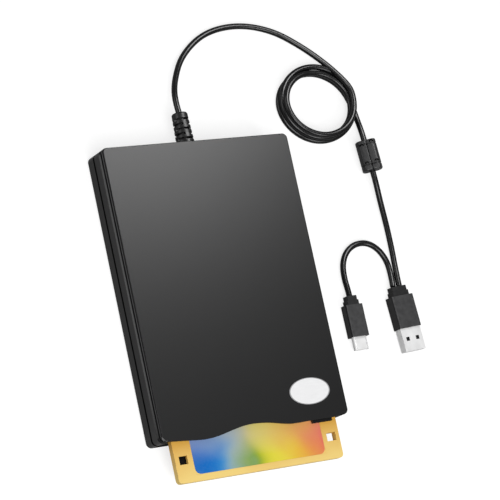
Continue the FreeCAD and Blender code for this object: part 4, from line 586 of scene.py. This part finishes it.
def coil_points():
    """Turns round the coil's centre, clockwise from its right side, lying on one another.

    After t turns the point is C + (a cos 2 pi t, -(a - squash) sin 2 pi t), where a and the
    height run straight from one key of COIL_KEYS to the next.
    """
    keys = np.array(COIL_KEYS)
    made = np.arange(int(keys[-1, 0] * POINTS_A_TURN) + 1) / POINTS_A_TURN
    half, height = (np.interp(made, keys[:, 0], keys[:, column]) for column in (1, 2))
    angle = -2 * np.pi * made
    points = np.stack([COIL_CENTRE[0] + half * np.cos(angle),
                       COIL_CENTRE[1] + (half - COIL_SQUASH) * np.sin(angle), height], -1)
    return [tuple(point) for point in points.tolist()]


def cord_curve(name, route, body="case"):
    """A round cord whose line is one open NURBS spline with the route's points as control points."""
    curve = bpy.data.curves.new(name, "CURVE")
    curve.dimensions = "3D"
    curve.resolution_u = 12
    curve.bevel_depth = CORD_D / 2 * MM
    curve.bevel_resolution = 6
    curve.use_fill_caps = True
    spline = curve.splines.new("NURBS")
    spline.points.add(len(route) - 1)
    for point, spot in zip(spline.points, route):
        point.co = (*(value * MM for value in spot), 1.0)
    spline.order_u = 3
    spline.use_endpoint_u = True
    curve.materials.append(FINISHES["cord"])
    made = bpy.data.objects.new(name, curve)
    bpy.context.scene.collection.objects.link(made)
    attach(made, body)
    return made


main_route = LEAD + coil_points() + TAIL + RUN
main_cord = cord_curve("main_cord", main_route)
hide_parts("cord_lead", "cord_coil", "cord_tail", "cord_run")
pigtail_cord = cord_curve("pigtail_cord", PIGTAIL)
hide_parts("cord_pigtail")


# ---------------------------------------------------------------- camera, floor, lights
# the view: its angles in degrees, the way to the case's front in millimetres, its focal length and its
# frame in pixels, and that front's place along Y in millimetres
VIEW = {"azimuth": -70.399, "elevation": 58.040, "roll": 60.901, "across": -4.503, "up": -88.237,
        "distance": 1098.309, "lens_px": 2300.0, "frame_px": 500.0, "front_to_frame": -61.0}
# the sensor's width in millimetres, and the nearest and farthest distance seen in metres
SENSOR_WIDTH, CLIP = 36.0, (0.05, 20.0)


def make_camera():
    """The camera of VIEW: its axes are the view's right and up turned by the roll, and back."""
    a, e, r = (math.radians(VIEW[key]) for key in ("azimuth", "elevation", "roll"))
    back = np.array([math.sin(a) * math.cos(e), -math.cos(a) * math.cos(e), math.sin(e)])
    right = np.cross([0, 0, 1], back)
    right /= np.linalg.norm(right)
    up = np.cross(back, right)
    roll = np.array([[math.cos(r), math.sin(r), 0], [-math.sin(r), math.cos(r), 0], [0, 0, 1]])
    axes = roll @ np.array([right, up, back])
    spot = axes.T @ np.array([-VIEW["across"], -VIEW["up"], VIEW["distance"]])
    spot[1] += VIEW["front_to_frame"]
    data = bpy.data.cameras.new("camera")
    data.sensor_width = SENSOR_WIDTH
    data.lens = VIEW["lens_px"] / VIEW["frame_px"] * data.sensor_width
    data.clip_start, data.clip_end = CLIP
    made = bpy.data.objects.new("camera", data)
    bpy.context.scene.collection.objects.link(made)
    made.matrix_world = Matrix.Translation(spot * MM) @ Matrix(axes.T.tolist()).to_4x4()
    bpy.context.scene.camera = made


make_camera()


def area_light(name, spot, target, size, power, diffuse=True):
    """A rectangular soft box at a spot, facing a target, in metres and watts.

    Without diffuse it shows in gloss only.
    """
    data = bpy.data.lights.new(name, "AREA")
    data.shape = "RECTANGLE"
    data.size, data.size_y = size
    data.energy = power
    made = bpy.data.objects.new(name, data)
    bpy.context.scene.collection.objects.link(made)
    made.visible_diffuse = diffuse
    forward = np.array(target, float) - np.array(spot, float)
    forward /= np.linalg.norm(forward)
    side = np.cross(forward, [0, 0, 1])
    side /= np.linalg.norm(side)
    above = np.cross(side, forward)
    turn = Matrix(np.stack([side, above, -forward], 1).tolist()).to_4x4()
    made.matrix_world = Matrix.Translation(spot) @ turn


area_light("gloss_box", (0.165, 0.25, 0.37), (0.0, 0.05, 0.018), (0.2, 0.2), 1.45, diffuse=False)
area_light("key_box", (0.30, -0.60, 0.65), (0.0, 0.0, 0.0), (0.35, 0.35), 2.3)
area_light("top_box", (-0.25, -0.35, 0.90), (0.0, 0.0, 0.0), (0.6, 0.6), 6.0)
area_light("side_box", (-0.75, 0.35, 0.30), (0.0, 0.0, 0.01), (0.7, 0.3), 1.5)

WORLD_STRENGTH = 0.21
# half the floor's side in metres, and how far it lies below the feet so that no two faces share a plane
FLOOR_HALF, FLOOR_DROP = 3.0, 0.00005
# how strongly the floor shines for the camera alone
FLOOR_GLOW = 0.74


def make_world():
    """Even white light from all sides."""
    world = bpy.data.worlds.new("studio")
    bpy.context.scene.world = world
    world.use_nodes = True
    background = world.node_tree.nodes["Background"]
    background.inputs["Color"].default_value = linear("#FFFFFF")
    background.inputs["Strength"].default_value = WORLD_STRENGTH


def floor_paper():
    """Grey paper that looks white to the camera, and through clear pieces, but lights nothing."""
    made, tree, shader = finish("floor_white_paper", Roughness=0.9, Specular_IOR_Level=0.1)
    shader.inputs["Base Color"].default_value = linear("#A8A8A8")
    shader.inputs["Emission Color"].default_value = linear("#FFFFFF")
    ray = add(tree, "LightPath")
    seen = calc(tree, "MAXIMUM", ray.outputs["Is Camera Ray"], ray.outputs["Is Transmission Ray"])
    feed(tree, shader, Emission_Strength=between(tree, seen, 0.0, 1.0, 0.0, FLOOR_GLOW))
    return made


def make_floor():
    """The level square under the part, which is stage and no piece of it."""
    corners = [(x * FLOOR_HALF, y * FLOOR_HALF, -FLOOR_DROP) for x, y in ((-1, -1), (1, -1), (1, 1), (-1, 1))]
    mesh = bpy.data.meshes.new("floor")
    mesh.from_pydata(corners, [], [(0, 1, 2, 3)])
    mesh.materials.append(floor_paper())
    floor = bpy.data.objects.new("floor", mesh)
    bpy.context.scene.collection.objects.link(floor)


make_world()
make_floor()
bpy.context.scene.view_settings.view_transform = "Standard"
